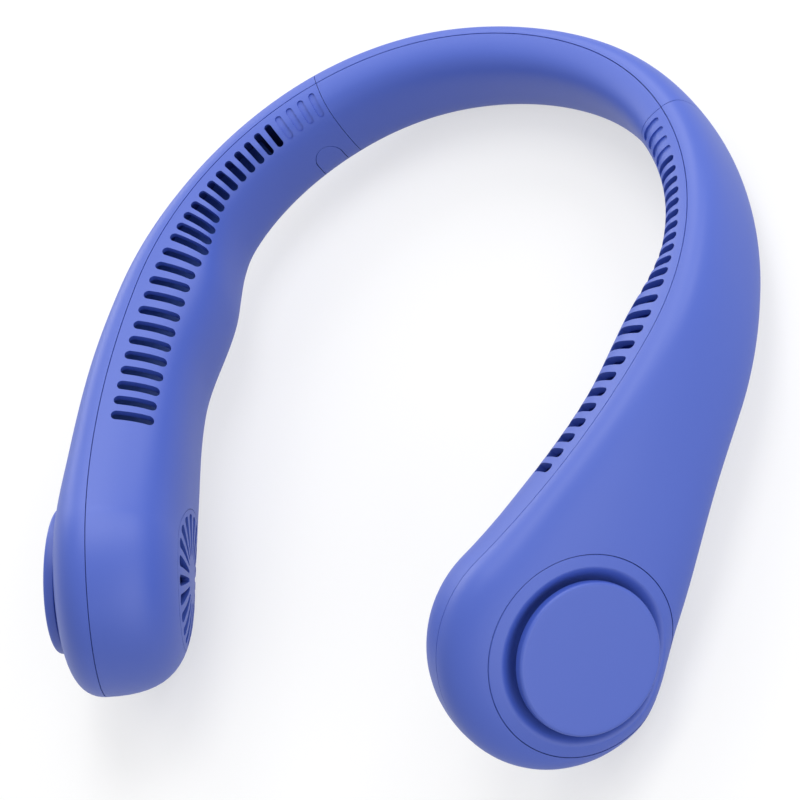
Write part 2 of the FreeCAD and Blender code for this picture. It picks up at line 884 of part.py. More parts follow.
def button_frame():
    """Frame of the power button on the right-hand template: Z out of the face, X ahead."""
    section = Section(seam_at + button_from_seam)
    pitch = math.radians(button_pitch)
    outward = section.out * -math.cos(pitch) - section.up * math.sin(pitch)
    along = section.ahead.cross(outward) * -1
    return frame(section.at(-button_inward, -button_below_middle), along.cross(outward), along, outward)


class Controls:
    """Button, switch, boards and charging socket, built on the right-hand template."""

    def __init__(self, arm):
        self.arm = arm
        self.place = button_frame()
        self.flange_top = arm_hollow(wall + button_gap)
        self.flange_under = arm_hollow(wall + button_gap + button_flange_thickness)
        self.face = self.reach(arm.inner, self.place, 0.0, 0.0, 0.0)
        self.back = self.reach(self.flange_under, self.place, 0.0, 0.0, 0.0)

    def reach(self, solid, place, x, y, low):
        """Height at which a line along a frame's Z axis leaves a solid."""
        line = Part.makeLine(place.multVec(Vector(x, y, low)), place.multVec(Vector(x, y, fan_inner)))
        return low + solid.common(line).Length

    def prism(self, extra, low, high):
        """Round-ended bar of the button's outline along its travel."""
        bar = stadium(button_length + 2 * extra, button_width + 2 * extra, low, high)
        return placed(bar, self.place)

    def opening(self):
        """Cutter for the button's hole in the shell."""
        return self.prism(button_gap, -over, self.face + over * 2)

    def power_button(self):
        """Flush button with a hidden flange and a post for the switch."""
        high = self.face + over * 2
        cap = self.arm.inner.common(self.prism(0.0, 0.0, high)).cut(self.flange_under)
        flange = self.flange_top.common(self.prism(button_flange, 0.0, high)).cut(self.flange_under)
        post = cylinder(button_post_radius, self.back - button_post_length, self.face - wall / 2)
        return fused([cap, flange, placed(post, self.place)])

    def stem_top(self):
        """Height of the switch's stem on the button's axis."""
        return self.back - button_post_length - button_travel - button_stop_gap

    def switch_seat(self):
        """Height of the control board's upper face."""
        return self.stem_top() - switch_stem_height - switch_height

    def button_switch(self):
        """Tact switch under the button."""
        seat = self.switch_seat()
        half = switch_side / 2
        body = Part.makeBox(switch_side, switch_side, switch_height, Vector(-half, -half, seat))
        stem = cylinder(switch_stem_radius, seat + switch_height, self.stem_top())
        return placed(fused([body, stem]), self.place)

    def control_board(self):
        """Board that carries the switch."""
        seat = self.switch_seat()
        low = Vector(
            control_board_towards_fan - control_board_length / 2,
            -control_board_width / 2,
            seat - control_board,
        )
        return placed(Part.makeBox(control_board_length, control_board_width, control_board, low), self.place)

    def port_frame(self):
        """Frame of the charging socket: Z down out of its mouth, X ahead."""
        section = Section(seam_at + port_from_seam)
        low = -section.height / 2
        return frame(section.at(-port_inward, low), section.ahead, section.out * -1, section.up * -1)

    def port_mouth(self):
        """Height of the socket's mouth, recessed from the lowest edge of its hole."""
        place = self.port_frame()
        sides = [-port_height / 2, port_height / 2]
        heights_at_sides = [self.reach(self.arm.inner, place, 0.0, side, -port_depth) for side in sides]
        return min(heights_at_sides) - port_recess

    def port_bar(self, extra, low, high):
        """Round-ended bar of the socket's outline."""
        bar = stadium(port_width + 2 * extra, port_height + 2 * extra, low, high)
        bar.rotate(ORIGIN, UP, 90)
        return bar

    def port_hole(self):
        """Cutter for the socket's hole in the shell."""
        bar = self.port_bar(port_clearance, -port_depth, over * 3)
        return placed(bar, self.port_frame())

    def usb_socket(self):
        """Socket shell with its contact tongue."""
        mouth = self.port_mouth()
        shell = self.port_bar(0.0, mouth - port_depth, mouth)
        room = self.port_bar(-port_shell, mouth - port_depth + 1.0, mouth + over)
        tongue_width = port_width - 2 * port_height * 0.7
        low = Vector(-tongue_width / 2, -port_tongue / 2, mouth - port_depth + 0.5)
        tongue = Part.makeBox(tongue_width, port_tongue, port_depth - 1.5, low)
        return placed(shell.cut(room).fuse(tongue).removeSplitter(), self.port_frame())

    def port_board(self):
        """Small upright board behind the charging socket."""
        mouth = self.port_mouth()
        low = Vector(-port_board_width / 2, -port_height / 2 - port_board, mouth - port_depth)
        board = Part.makeBox(port_board_width, port_board, port_depth - wall - port_recess - over, low)
        return placed(board, self.port_frame())


def foot_points(section):
    """Points along the lower half of a section's outline."""
    points = []
    for side in (OUTER, INNER):
        points += [section.at(p.x, p.y) for p in section.quarter(side, -1, 0.0, outline_facet_count)]
    return points


def rest_tilt():
    """Angle that sets the back of the neck and the two fan ends down on one level."""
    feet = foot_points(Section(0.0))
    rims = []
    for place in arm_places:
        rims += foot_points(Section(place))
    for angle in spread(0.0, 90.0, 1 + end_facet_count // 2):
        turn = Rotation(fan_section.out, -angle)
        for point in foot_points(fan_section):
            rims.append(fan_section.centre + turn.multVec(point - fan_section.centre))
    low, high = 0.0, 45.0
    for _ in range(40):
        tilt = (low + high) / 2
        turn = Rotation(ACROSS, -tilt)
        neck_low = min(turn.multVec(p).z for p in feet)
        fan_low = min(turn.multVec(p).z for p in rims)
        if fan_low < neck_low:
            low = tilt
        else:
            high = tilt
    return tilt


def right_pieces(arm):
    """Pieces of one arm, built on the right-hand side."""
    return {
        "arm_outer_shell": arm.outer_shell(),
        "arm_inner_shell": arm.inner_shell(),
        "intake_cover": arm.intake_cover(),
        "intake_cap": in_fan(intake_cap()),
        "inner_grille": arm.inner_grille(),
        "duct_floor": arm.duct_floor(),
        "fan_scroll": arm.fan_scroll(),
        "battery_cell": battery_cell(),
        "fan_wheel": in_fan(fan_wheel()),
        "rotor_bell": in_fan(rotor_bell()),
        "motor_shaft": in_fan(motor_shaft()),
        "motor_base": in_fan(motor_base()),
        "motor_stator": in_fan(motor_stator()),
        "joint_sleeve": joint_sleeve(),
    }


def mirrored(shape):
    """Left-hand copy of a right-hand piece."""
    return shape.mirror(ORIGIN, ACROSS)


def all_pieces():
    """Every piece by name, in the frame of the ridge."""
    arm = Arm()
    controls = Controls(arm)
    pieces = {}
    for name, shape in right_pieces(arm).items():
        pieces["right_" + name] = shape
        if name == "arm_inner_shell":
            shape = shape.cut([controls.opening(), controls.port_hole()])
        pieces["left_" + name] = mirrored(shape)
    pieces["neck_outer_shell"], pieces["neck_inner_shell"] = neck_shells()
    pieces["cross_lead"] = cross_lead()
    pieces["power_button"] = mirrored(controls.power_button())
    pieces["button_switch"] = mirrored(controls.button_switch())
    pieces["control_board"] = mirrored(controls.control_board())
    pieces["usb_socket"] = mirrored(controls.usb_socket())
    pieces["port_board"] = mirrored(controls.port_board())
    return pieces


def rest_placement(pieces):
    """Placement that stands the fan on a table with its origin under the middle."""
    turn = Placement(ORIGIN, Rotation(ACROSS, -rest_tilt()))
    shells = ["neck_outer_shell", "right_arm_outer_shell", "right_arm_inner_shell", "neck_inner_shell"]
    box = Part.makeCompound([placed(pieces[name], turn) for name in shells]).optimalBoundingBox(False)
    return Placement(Vector(0, -(box.YMin + box.YMax) / 2, -box.ZMin), Rotation()).multiply(turn)


def main():
    """Build every piece, stand it on the table and write it out."""
    os.makedirs("parts", exist_ok=True)
    pieces = all_pieces()
    rest = rest_placement(pieces)
    for name, shape in pieces.items():
        placed(shape, rest).exportStep("parts/" + name + ".step")


if __name__ == "__main__":
    main()
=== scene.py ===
"""Looks of an electric neck fan: smooth moulded shells, both fan ends, controls, studio and camera."""

import logging
import math
from dataclasses import dataclass, field
from enum import Enum
from typing import Any, Sequence

import bmesh
import bpy
import numpy as np
from bpy.types import ID, Material, Mesh, Node, NodeSocket, NodeTree, Object
from mathutils import Matrix, Vector
from mathutils.bvhtree import BVHTree

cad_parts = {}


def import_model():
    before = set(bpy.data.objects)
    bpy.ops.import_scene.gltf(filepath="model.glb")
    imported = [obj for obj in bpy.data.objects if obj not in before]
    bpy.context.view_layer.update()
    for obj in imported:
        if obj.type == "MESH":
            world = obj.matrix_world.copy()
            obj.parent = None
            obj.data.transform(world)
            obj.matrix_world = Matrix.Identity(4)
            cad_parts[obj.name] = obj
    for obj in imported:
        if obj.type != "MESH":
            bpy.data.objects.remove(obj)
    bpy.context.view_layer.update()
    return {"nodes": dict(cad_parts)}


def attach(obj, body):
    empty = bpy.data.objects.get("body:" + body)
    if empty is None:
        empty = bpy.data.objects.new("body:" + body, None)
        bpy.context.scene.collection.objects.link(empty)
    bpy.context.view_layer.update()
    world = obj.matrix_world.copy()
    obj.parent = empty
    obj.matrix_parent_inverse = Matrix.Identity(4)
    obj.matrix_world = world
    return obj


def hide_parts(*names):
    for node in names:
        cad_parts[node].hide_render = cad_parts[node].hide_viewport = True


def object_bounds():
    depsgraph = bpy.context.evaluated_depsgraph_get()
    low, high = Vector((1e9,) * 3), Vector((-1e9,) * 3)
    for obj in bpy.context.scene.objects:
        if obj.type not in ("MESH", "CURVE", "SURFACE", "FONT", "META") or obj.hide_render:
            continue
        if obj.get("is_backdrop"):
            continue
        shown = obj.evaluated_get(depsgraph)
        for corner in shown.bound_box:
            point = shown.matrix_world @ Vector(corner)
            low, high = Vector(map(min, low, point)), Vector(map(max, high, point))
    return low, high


LOG = logging.getLogger("neck_fan")
MM = 0.001
FRAME_PIXELS = 800
MERGE_DIGITS = 4
NOISE_MIDDLE = 0.5
FULL_TURN = 2.0 * math.pi
UPWARD = np.array([0.0, 0.0, 1.0])
MIRROR = np.array([-1.0, 1.0, 1.0])
WHITE = (1.0, 1.0, 1.0, 1.0)

Pair = tuple[float, float]
Triple = tuple[float, float, float]


class Side(Enum):
    """Half of the housing, split along the ridge."""

    OUTER = 1
    INNER = -1


class Hand(Enum):
    """Arm of the housing, named as seen from its open front."""

    LEFT = "left"
    RIGHT = "right"


class Cut(Enum):
    """Ways of joining two solids."""

    AWAY = "DIFFERENCE"
    COMMON = "INTERSECT"
    TOGETHER = "UNION"


# Node trees


class Value:
    """Number socket that grows Math nodes from Python expressions."""

    def __init__(self, graph: "Graph", socket: NodeSocket) -> None:
        """Wrap one output socket of a graph."""
        self.graph = graph
        self.socket = socket

    def _math(self, operation: str, first: Any, second: Any) -> "Value":
        """Result of one Math node for two values or numbers."""
        return self.graph.value("ShaderNodeMath", {0: first, 1: second}, operation=operation)

    def __add__(self, other: Any) -> "Value":
        """Sum of two values."""
        return self._math("ADD", self, other)

    __radd__ = __add__

    def __sub__(self, other: Any) -> "Value":
        """Difference of two values."""
        return self._math("SUBTRACT", self, other)

    def __rsub__(self, other: Any) -> "Value":
        """Difference with this value taken away."""
        return self._math("SUBTRACT", other, self)

    def __mul__(self, other: Any) -> "Value":
        """Product of two values."""
        return self._math("MULTIPLY", self, other)

    __rmul__ = __mul__

    def __truediv__(self, other: Any) -> "Value":
        """Quotient of two values."""
        return self._math("DIVIDE", self, other)

    def at_most(self, other: Any) -> "Value":
        """Smaller of two values."""
        return self._math("MINIMUM", self, other)


class Graph:
    """Node tree with one way of adding a node."""

    def __init__(self, tree: NodeTree) -> None:
        """Keep the tree that nodes are added to."""
        self.tree = tree

    @classmethod
    def within(cls, owner: ID) -> "Graph":
        """Emptied node tree of a material or a world.

        Args:
            owner: The material or world.

        Returns:
            Its graph.
        """
        owner.use_nodes = True
        owner.node_tree.nodes.clear()
        return cls(owner.node_tree)

    def add(self, kind: str, sockets: dict[Any, Any] | None = None, **settings: Any) -> Node:
        """Add a node, set its options and then its sockets.

        Args:
            kind: Blender's name of the node type.
            sockets: Numbers, values, sockets or nodes by input name or number.
            **settings: Options of the node.

        Returns:
            The new node.
        """
        node = self.tree.nodes.new(kind)
        for name, value in settings.items():
            setattr(node, name, value)
        for key, value in (sockets or {}).items():
            self.feed(node.inputs[key], value)
        return node

    def feed(self, socket: NodeSocket, value: Any) -> None:
        """Link or set one input.

        Args:
            socket: Input to fill.
            value: Value, output socket, node (for its first output) or plain setting.
        """
        if isinstance(value, Value):
            value = value.socket
        elif isinstance(value, Node):
            value = value.outputs[0]
        if isinstance(value, NodeSocket):
            self.tree.links.new(value, socket)
        else:
            socket.default_value = value

    def value(
        self, kind: str, sockets: dict[Any, Any] | None = None, output: int | str = 0, **settings: Any
    ) -> Value:
        """One output of a new node, wrapped for sums."""
        return Value(self, self.add(kind, sockets, **settings).outputs[output])


# Finishes


@dataclass(frozen=True)
class Finish:
    """Moulded, drawn or printed surface with uneven gloss and a fine grain."""

    name: str
    colour: Triple
    shade: Triple
    roughness: float = 0.45
    unevenness: float = 0.08
    patch_scale: float = 45.0
    patch_detail: float = 3.0
    grain_scale: float = 2600.0
    grain_detail: float = 2.0
    grain_depth: float = 0.000006
    grain_strength: float = 0.6
    grain_gloss: float = 0.6
    stretch: Triple = (1.0, 1.0, 1.0)
    metallic: float = 0.0
    specular: float = 0.5
    coat: float = 0.0

    @staticmethod
    def _noise(graph: Graph, place: Any, scale: float, detail: float) -> Value:
        """Noise at one scale."""
        sockets = {"Vector": place, "Scale": scale, "Detail": detail}
        return graph.value("ShaderNodeTexNoise", sockets, "Fac")

    def material(self) -> Material:
        """Build the finish's material.

        Returns:
            A procedural material on Object coordinates.
        """
        material = bpy.data.materials.new(self.name)
        material.diffuse_color = (*self.colour, 1.0)
        graph = Graph.within(material)
        place = graph.add("ShaderNodeTexCoord").outputs["Object"]
        stretched = graph.add("ShaderNodeMapping", {"Vector": place, "Scale": self.stretch})
        patches = self._noise(graph, place, self.patch_scale, self.patch_detail)
        grain = self._noise(graph, stretched, self.grain_scale, self.grain_detail)
        tones = {"Factor": patches, "A": (*self.shade, 1.0), "B": (*self.colour, 1.0)}
        colour = graph.add("ShaderNodeMix", tones, data_type="RGBA")
        broad = (patches - NOISE_MIDDLE) * self.unevenness
        fine = (grain - NOISE_MIDDLE) * (self.unevenness * self.grain_gloss)
        relief = {"Height": grain, "Distance": self.grain_depth, "Strength": self.grain_strength}
        shader = graph.add(
            "ShaderNodeBsdfPrincipled",
            {
                "Base Color": colour.outputs["Result"],
                "Roughness": broad + fine + self.roughness,
                "Normal": graph.add("ShaderNodeBump", relief),
                "Metallic": self.metallic,
                "Specular IOR Level": self.specular,
                "Coat Weight": self.coat,
            },
        )
        graph.add("ShaderNodeOutputMaterial", {"Surface": shader})
        return material


FINISHES = (
    Finish("shell_plastic", (0.050, 0.104, 0.505), (0.045, 0.096, 0.482), 0.50, 0.06, specular=0.8),
    # inner_plastic is the shell's blue made lighter: painted light, standing in for the light that hardly
    # reaches the inside pieces seen through the slots.
    Finish("inner_plastic", (0.055, 0.135, 0.520), (0.047, 0.118, 0.470), 0.55),
    Finish("wheel_plastic", (0.022, 0.030, 0.075), (0.016, 0.022, 0.058), 0.42),
    Finish("cell_wrap", (0.10, 0.35, 0.30), (0.07, 0.28, 0.24), 0.28, coat=0.3),
    Finish("board", (0.020, 0.160, 0.070), (0.012, 0.110, 0.045), 0.35, patch_scale=260.0, coat=0.4),
    Finish("lead_cover", (0.020, 0.020, 0.020), (0.014, 0.014, 0.015), 0.62),
    Finish(
        "motor_steel",
        (0.52, 0.52, 0.53),
        (0.42, 0.42, 0.44),
        0.32,
        0.14,
        grain_scale=900.0,
        grain_depth=0.000004,
        stretch=(1.0, 1.0, 12.0),
        metallic=1.0,
    ),
)


# Meshes


class Skin:
    """Patches of points in millimetres, gathered into one closed mesh."""

    def __init__(self) -> None:
        """Start with no points."""
        self.points: list[np.ndarray] = []
        self.faces: list[list[int]] = []
        self.count = 0

    def patch(self, grid: np.ndarray) -> None:
        """Add the quads of a grid of points.

        Args:
            grid: Rows by columns by three.
        """
        rows, columns = grid.shape[:2]
        self.points.append(grid.reshape(-1, 3))
        for row in range(rows - 1):
            first = self.count + row * columns
            for k in range(first, first + columns - 1):
                self.faces.append([k, k + 1, k + columns + 1, k + columns])
        self.count += rows * columns

    def lid(self, ring: np.ndarray) -> None:
        """Add one flat face.

        Args:
            ring: Its corners in order.
        """
        self.points.append(ring)
        self.faces.append(list(range(self.count, self.count + len(ring))))
        self.count += len(ring)

    def merged(self) -> tuple[np.ndarray, list[list[int]]]:
        """Join shared corners and leave out doubled ones.

        Returns:
            Points and faces.
        """
        points = np.concatenate(self.points)
        near = np.round(points, MERGE_DIGITS)
        _, first, where = np.unique(near, axis=0, return_index=True, return_inverse=True)
        where = where.reshape(-1)
        faces = []
        for face in self.faces:
            corners = [int(where[k]) for k in face]
            kept = [c for k, c in enumerate(corners) if c != corners[k - 1]]
            if len(kept) > 2:
                faces.append(kept)
        return points[first], faces

    def mesh(self, name: str, place: Matrix) -> Mesh:
        """Closed mesh with its faces outward.

        Args:
            name: Name of the mesh.
            place: Matrix from the points' frame to the part's.

        Returns:
            The mesh in metres.
        """
        points, faces = self.merged()
        mesh = bpy.data.meshes.new(name)
        mesh.from_pydata(points.tolist(), [], faces)
        mesh.transform(place)
        even_faces(mesh)
        return mesh


def even_faces(mesh: Mesh) -> None:
    """Turn every face of a closed mesh outward.

    Args:
        mesh: Mesh to set right.
    """
    work = bmesh.new()
    work.from_mesh(mesh)
    bmesh.ops.recalc_face_normals(work, faces=work.faces)
    if work.calc_volume(signed=True) < 0:
        bmesh.ops.reverse_faces(work, faces=work.faces)
    work.to_mesh(mesh)
    work.free()


def rounded(corner: Pair, radius: float, start: float, end: float, steps: int) -> list[Pair]:
    """Points of an arc between two angles in degrees, about its middle."""
    angles = np.radians(np.linspace(start, end, steps + 1))
    return [(corner[0] + radius * math.cos(a), corner[1] + radius * math.sin(a)) for a in angles]


def scene_object(name: str, data: ID) -> Object:
    """New object, linked to the scene.

    Args:
        name: Name of the object.
        data: Mesh, lamp or camera that it shows.

    Returns:
        The object.
    """
    made = bpy.data.objects.new(name, data)
    bpy.context.scene.collection.objects.link(made)
    return made


def evaluated(obj: Object, name: str) -> Mesh:
    """Plain mesh of an object with its modifiers worked out.

    Args:
        obj: Object to read; its modifiers are removed afterwards.
        name: Name of the new mesh.

    Returns:
        The mesh.
    """
    graph = bpy.context.evaluated_depsgraph_get()
    mesh = bpy.data.meshes.new_from_object(obj.evaluated_get(graph))
    mesh.name = name
    obj.modifiers.clear()
    return mesh


def worked(name: str, blank: Mesh, steps: Sequence[tuple[Cut, Mesh]]) -> Mesh:
    """Solid cut from a blank.

    Args:
        name: Name of the result.
        blank: Closed mesh to start from.
        steps: Operations with the closed mesh that each uses.

    Returns:
        The finished mesh without materials.
    """
    base = scene_object(name + "_blank", blank)
    tools = []
    for cut, mesh in steps:
        tool = scene_object(name + "_tool", mesh)
        change = base.modifiers.new("work", "BOOLEAN")
        change.operation = cut.value
        change.solver = "MANIFOLD"
        change.object = tool
        tools.append(tool)
    mesh = evaluated(base, name)
    for obj in [base, *tools]:
        bpy.data.objects.remove(obj)
    mesh.materials.clear()
    return mesh


def carved(name: str, blank: Mesh, tools: Sequence[Mesh]) -> Mesh:
    """Blank with every tool cut away from it."""
    return worked(name, blank, [(Cut.AWAY, tool) for tool in tools])


def mirrored(mesh: Mesh) -> Mesh:
    """Copy of a right-hand mesh for the left.

    Args:
        mesh: Right-hand mesh.

    Returns:
        Its mirror image, with its faces outward.
    """
    copy = mesh.copy()
    copy.transform(Matrix.Scale(-1.0, 4, (1.0, 0.0, 0.0)))
    even_faces(copy)
    return copy


# Repeating cutters


class Repeats:
    """Geometry Nodes trees for slots in a row and for leaves round an axis."""

    CORNER_POINTS = 8
    FILLET_SHARE = 0.4999
    WELD = 1e-5

    def __init__(self, finish: Material) -> None:
        """Build both trees.

        Args:
            finish: Material of what they make.
        """
        self.finish = finish
        self.row = self._row_tree()
        self.rosette = self._rosette_tree()

    @staticmethod
    def _tree(name: str, inputs: dict[str, str]) -> tuple[Graph, Any]:
        """Start a tree with named inputs.

        Args:
            name: Name of the tree.
            inputs: Kinds of socket by input name.

        Returns:
            The graph and the sockets of its inputs by name.
        """
        tree = bpy.data.node_groups.new(name, "GeometryNodeTree")
        for label, kind in {"Geometry": "Geometry", **inputs}.items():
            tree.interface.new_socket(label, in_out="INPUT", socket_type=f"NodeSocket{kind}")
        tree.interface.new_socket("Geometry", in_out="OUTPUT", socket_type="NodeSocketGeometry")
        graph = Graph(tree)
        return graph, graph.add("NodeGroupInput").outputs

    def _standing(self, graph: Graph, face: Any, height: Any) -> Node:
        """Closed prism that stands on a flat face.

        Args:
            graph: Tree to add to.
            face: Node or socket of the face.
            height: Height of the prism.

        Returns:
            Node with the prism.
        """
        sockets = {"Mesh": face, "Offset Scale": height, "Individual": False}
        risen = graph.add("GeometryNodeExtrudeMesh", sockets, mode="FACES")
        under = graph.add("GeometryNodeFlipFaces", {"Mesh": face})
        both = graph.add("GeometryNodeJoinGeometry")
        for made in (risen, under):
            graph.feed(both.inputs[0], made)
        return graph.add("GeometryNodeMergeByDistance", {"Geometry": both, "Distance": self.WELD})

    @staticmethod
    def _end(graph: Graph, instances: Node, finish: NodeSocket) -> NodeTree:
        """Realize instances, set their material and close the tree.

        Args:
            graph: Tree to close.
            instances: Node with instances.
            finish: Material input.

        Returns:
            The finished tree.
        """
        real = graph.add("GeometryNodeRealizeInstances", {"Geometry": instances})
        dressed = graph.add("GeometryNodeSetMaterial", {"Geometry": real, "Material": finish})
        graph.add("NodeGroupOutput", {0: dressed})
        return graph.tree

    def _row_tree(self) -> NodeTree:
        """Round-ended bars on points that carry a turn and a size.

        Returns:
            The tree.
        """
        sizes = dict.fromkeys(("Length", "Width", "Depth", "Reach"), "Float")
        graph, given = self._tree("slot_row", {**sizes, "Corner Points": "Int", "Finish": "Material"})
        sides = {"Width": given["Width"], "Height": given["Length"]}
        outline = graph.add("GeometryNodeCurvePrimitiveQuadrilateral", sides, mode="RECTANGLE")
        corners = {
            "Curve": outline,
            "Count": given["Corner Points"],
            "Radius": Value(graph, given["Width"]) * self.FILLET_SHARE,
            "Limit Radius": True,
        }
        filleted = graph.add("GeometryNodeFilletCurve", corners, mode="POLY")
        face = graph.add("GeometryNodeFillCurve", {"Curve": filleted}, mode="NGONS")
        depth = Value(graph, given["Depth"])
        bar = self._standing(graph, face, depth + given["Reach"])
        drop = graph.add("ShaderNodeCombineXYZ", {"Z": 0.0 - depth})
        sunk = graph.add("GeometryNodeTransform", {"Geometry": bar, "Translation": drop})
        row = {"Points": given["Geometry"], "Instance": sunk}
        for socket, name in (("Rotation", "turn"), ("Scale", "size")):
            row[socket] = graph.add(
                "GeometryNodeInputNamedAttribute", {"Name": name}, data_type="FLOAT_VECTOR"
            )
        return self._end(graph, graph.add("GeometryNodeInstanceOnPoints", row), given["Finish"])

    def _rosette_tree(self) -> NodeTree:
        """Prisms of a flat outline, evenly turned round the local Z axis.

        Returns:
            The tree.
        """
        inputs = {"Count": "Int", "Height": "Float", "Finish": "Material"}
        graph, given = self._tree("rosette", inputs)
        leaf = self._standing(graph, given["Geometry"], given["Height"])
        points = graph.add("GeometryNodePoints", {"Count": given["Count"]})
        angle = graph.value("GeometryNodeInputIndex") * FULL_TURN / given["Count"]
        turn = graph.add("ShaderNodeCombineXYZ", {"Z": angle})
        ring = {"Points": points, "Instance": leaf, "Rotation": turn}
        return self._end(graph, graph.add("GeometryNodeInstanceOnPoints", ring), given["Finish"])

    def _grow(self, name: str, base: Mesh, tree: NodeTree, given: dict[str, Any]) -> Mesh:
        """Run a tree on a mesh and keep the result as a plain mesh.

        Args:
            name: Name of the result.
            base: Mesh that the tree starts from.
            tree: Tree to run.
            given: Values of its named inputs, apart from the finish.

        Returns:
            The plain mesh with its faces outward.
        """
        obj = scene_object(name + "_seed", base)
        grow = obj.modifiers.new("grow", "NODES")
        grow.node_group = tree
        settings = {**given, "Finish": self.finish}
        for item in tree.interface.items_tree:
            if item.in_out == "INPUT" and item.name in settings:
                grow[item.identifier] = settings[item.name]
        mesh = evaluated(obj, name)
        bpy.data.objects.remove(obj)
        even_faces(mesh)
        return mesh

    def bars(
        self, name: str, places: Sequence[Matrix], sizes: Sequence[Pair], depth: float, reach: float
    ) -> Mesh:
        """Round-ended bars, each in a frame with X across, Y along and Z out.

        Args:
            name: Name of the mesh.
            places: Frames of the bars in the part's frame, without scale.
            sizes: Length and width of each in metres; the first sets the shape.
            depth: Depth below the frames' origins in metres.
            reach: Height above them in metres.

        Returns:
            One closed mesh with all the bars.
        """
        seed = bpy.data.meshes.new(name + "_points")
        seed.from_pydata([p.translation for p in places], [], [])
        for label in ("turn", "size"):
            seed.attributes.new(label, "FLOAT_VECTOR", "POINT")
        length, width = sizes[0]
        for k, (place, size) in enumerate(zip(places, sizes)):
            seed.attributes["turn"].data[k].vector = place.to_euler("XYZ")
            seed.attributes["size"].data[k].vector = (size[1] / width, size[0] / length, 1.0)
        given = {"Length": length, "Width": width, "Depth": depth, "Reach": reach}
        return self._grow(name, seed, self.row, {**given, "Corner Points": self.CORNER_POINTS})

    def leaves(
        self, name: str, outline: Sequence[Pair], low: float, height: float, count: int, place: Matrix
    ) -> Mesh:
        """Leaf-shaped prisms round a frame's Z axis.

        Args:
            name: Name of the mesh.
            outline: Corners of one leaf in millimetres, about the X axis.
            low: Height of its foot in millimetres.
            height: Height of the prism in millimetres.
            count: Number of leaves.
            place: Frame that the leaves stand in.

        Returns:
            One closed mesh with all the leaves.
        """
        seed = bpy.data.meshes.new(name + "_leaf")
        seed.from_pydata([(x, y, low) for x, y in outline], [], [list(range(len(outline)))])
        mesh = self._grow(name, seed, self.rosette, {"Count": count, "Height": height})
        mesh.transform(place)
        even_faces(mesh)
        return mesh


# Housing


def unit(vector: np.ndarray) -> np.ndarray:
    """Vector of length one in the same direction."""
    return vector / np.linalg.norm(vector)


def clamped(value: float) -> float:
    """Number held between nought and one."""
    return min(max(value, 0.0), 1.0)


def smoothstep(share: float) -> float:
    """Rise from nought to one that starts and ends level."""
    return share * share * (3.0 - 2.0 * share)


def between(start: float, end: float, share: float) -> float:
    """Number part of the way from one to another."""
    return start + (end - start) * share


def frame_matrix(origin: np.ndarray, x: np.ndarray, y: np.ndarray, z: np.ndarray) -> Matrix:
    """Matrix with the given origin and axes."""
    rows = np.column_stack([x, y, z, origin])
    return Matrix([*rows.tolist(), [0.0, 0.0, 0.0, 1.0]])


@dataclass
class Section:
    """Cross-section of the housing at one place along its ridge."""

    height: float
    outer: float
    inner: float
    centre: np.ndarray
    out: np.ndarray
    up: np.ndarray
    ahead: np.ndarray
    outer_fullness: float
    inner_fullness: float
    strip_fullness: float

    def at(self, out: float, up: float) -> np.ndarray:
        """Point at distances outward and upward of the middle."""
        return self.centre + self.out * out + self.up * up

    def quarter(self, side: Side, top: int, inset: float, count: int, start: float = 0.0) -> np.ndarray:
        """Points of a quarter of the outline from the ridge or foot to mid-height.

        Args:
            side: Outer or inner half.
            top: 1 for the upper quarter, -1 for the lower.
            inset: Distance in from the outer surface.
            count: Number of chords.
            start: Distance of the first point from the ridge's plane.

        Returns:
            Array of (out, up) pairs.
        """
        sign = side.value
        outer = side is Side.OUTER
        depth = ((self.outer if outer else self.inner) - inset) * sign
        half = (self.height / 2 - inset) * top
        flank = self.outer_fullness if outer else self.inner_fullness
        crown = self.outer_fullness if outer else self.strip_fullness
        poles = np.array([(sign * start, half), (depth * crown, half), (depth, half * flank), (depth, 0.0)])
        t = np.linspace(0.0, 1.0, count + 1)[:, None]
        s = 1.0 - t
        return s**3 * poles[0] + 3 * s * s * t * poles[1] + 3 * s * t * t * poles[2] + t**3 * poles[3]

    def lay(self, flat: np.ndarray) -> np.ndarray:
        """Flat (out, up) pairs as points."""
        return self.centre + flat[:, :1] * self.out + flat[:, 1:] * self.up

    def turned(self, flat: np.ndarray, angles: np.ndarray) -> np.ndarray:
        """Rows of flat (out, up) pairs, swung ahead from the top by each angle."""
        spokes = [self.up * math.cos(a) + self.ahead * math.sin(a) for a in angles]
        return np.array([self.centre + flat[:, :1] * self.out + flat[:, 1:] * s for s in spokes])

    def half_loop(self, side: Side, inset: float, count: int, start: float = 0.0) -> np.ndarray:
        """Points of one half from the ridge to the foot."""
        upper, lower = (self.quarter(side, top, inset, count, start) for top in (1, -1))
        return self.lay(np.concatenate([upper, lower[-2::-1]]))

    def ring(self, inset: float, count: int) -> np.ndarray:
        """Closed loop of points of the whole section; the last repeats the first."""
        outer, inner = (self.half_loop(side, inset, count) for side in Side)
        return np.concatenate([outer, inner[-2::-1]])

    def half_turn(self, side: Side, inset: float, count: int, turns: int, start: float = 0.0) -> np.ndarray:
        """Rows of points of the round end ahead of the section, from the top to the foot."""
        flat = self.quarter(side, 1, inset, count, start)
        return self.turned(flat, np.linspace(0.0, math.pi, turns + 1))


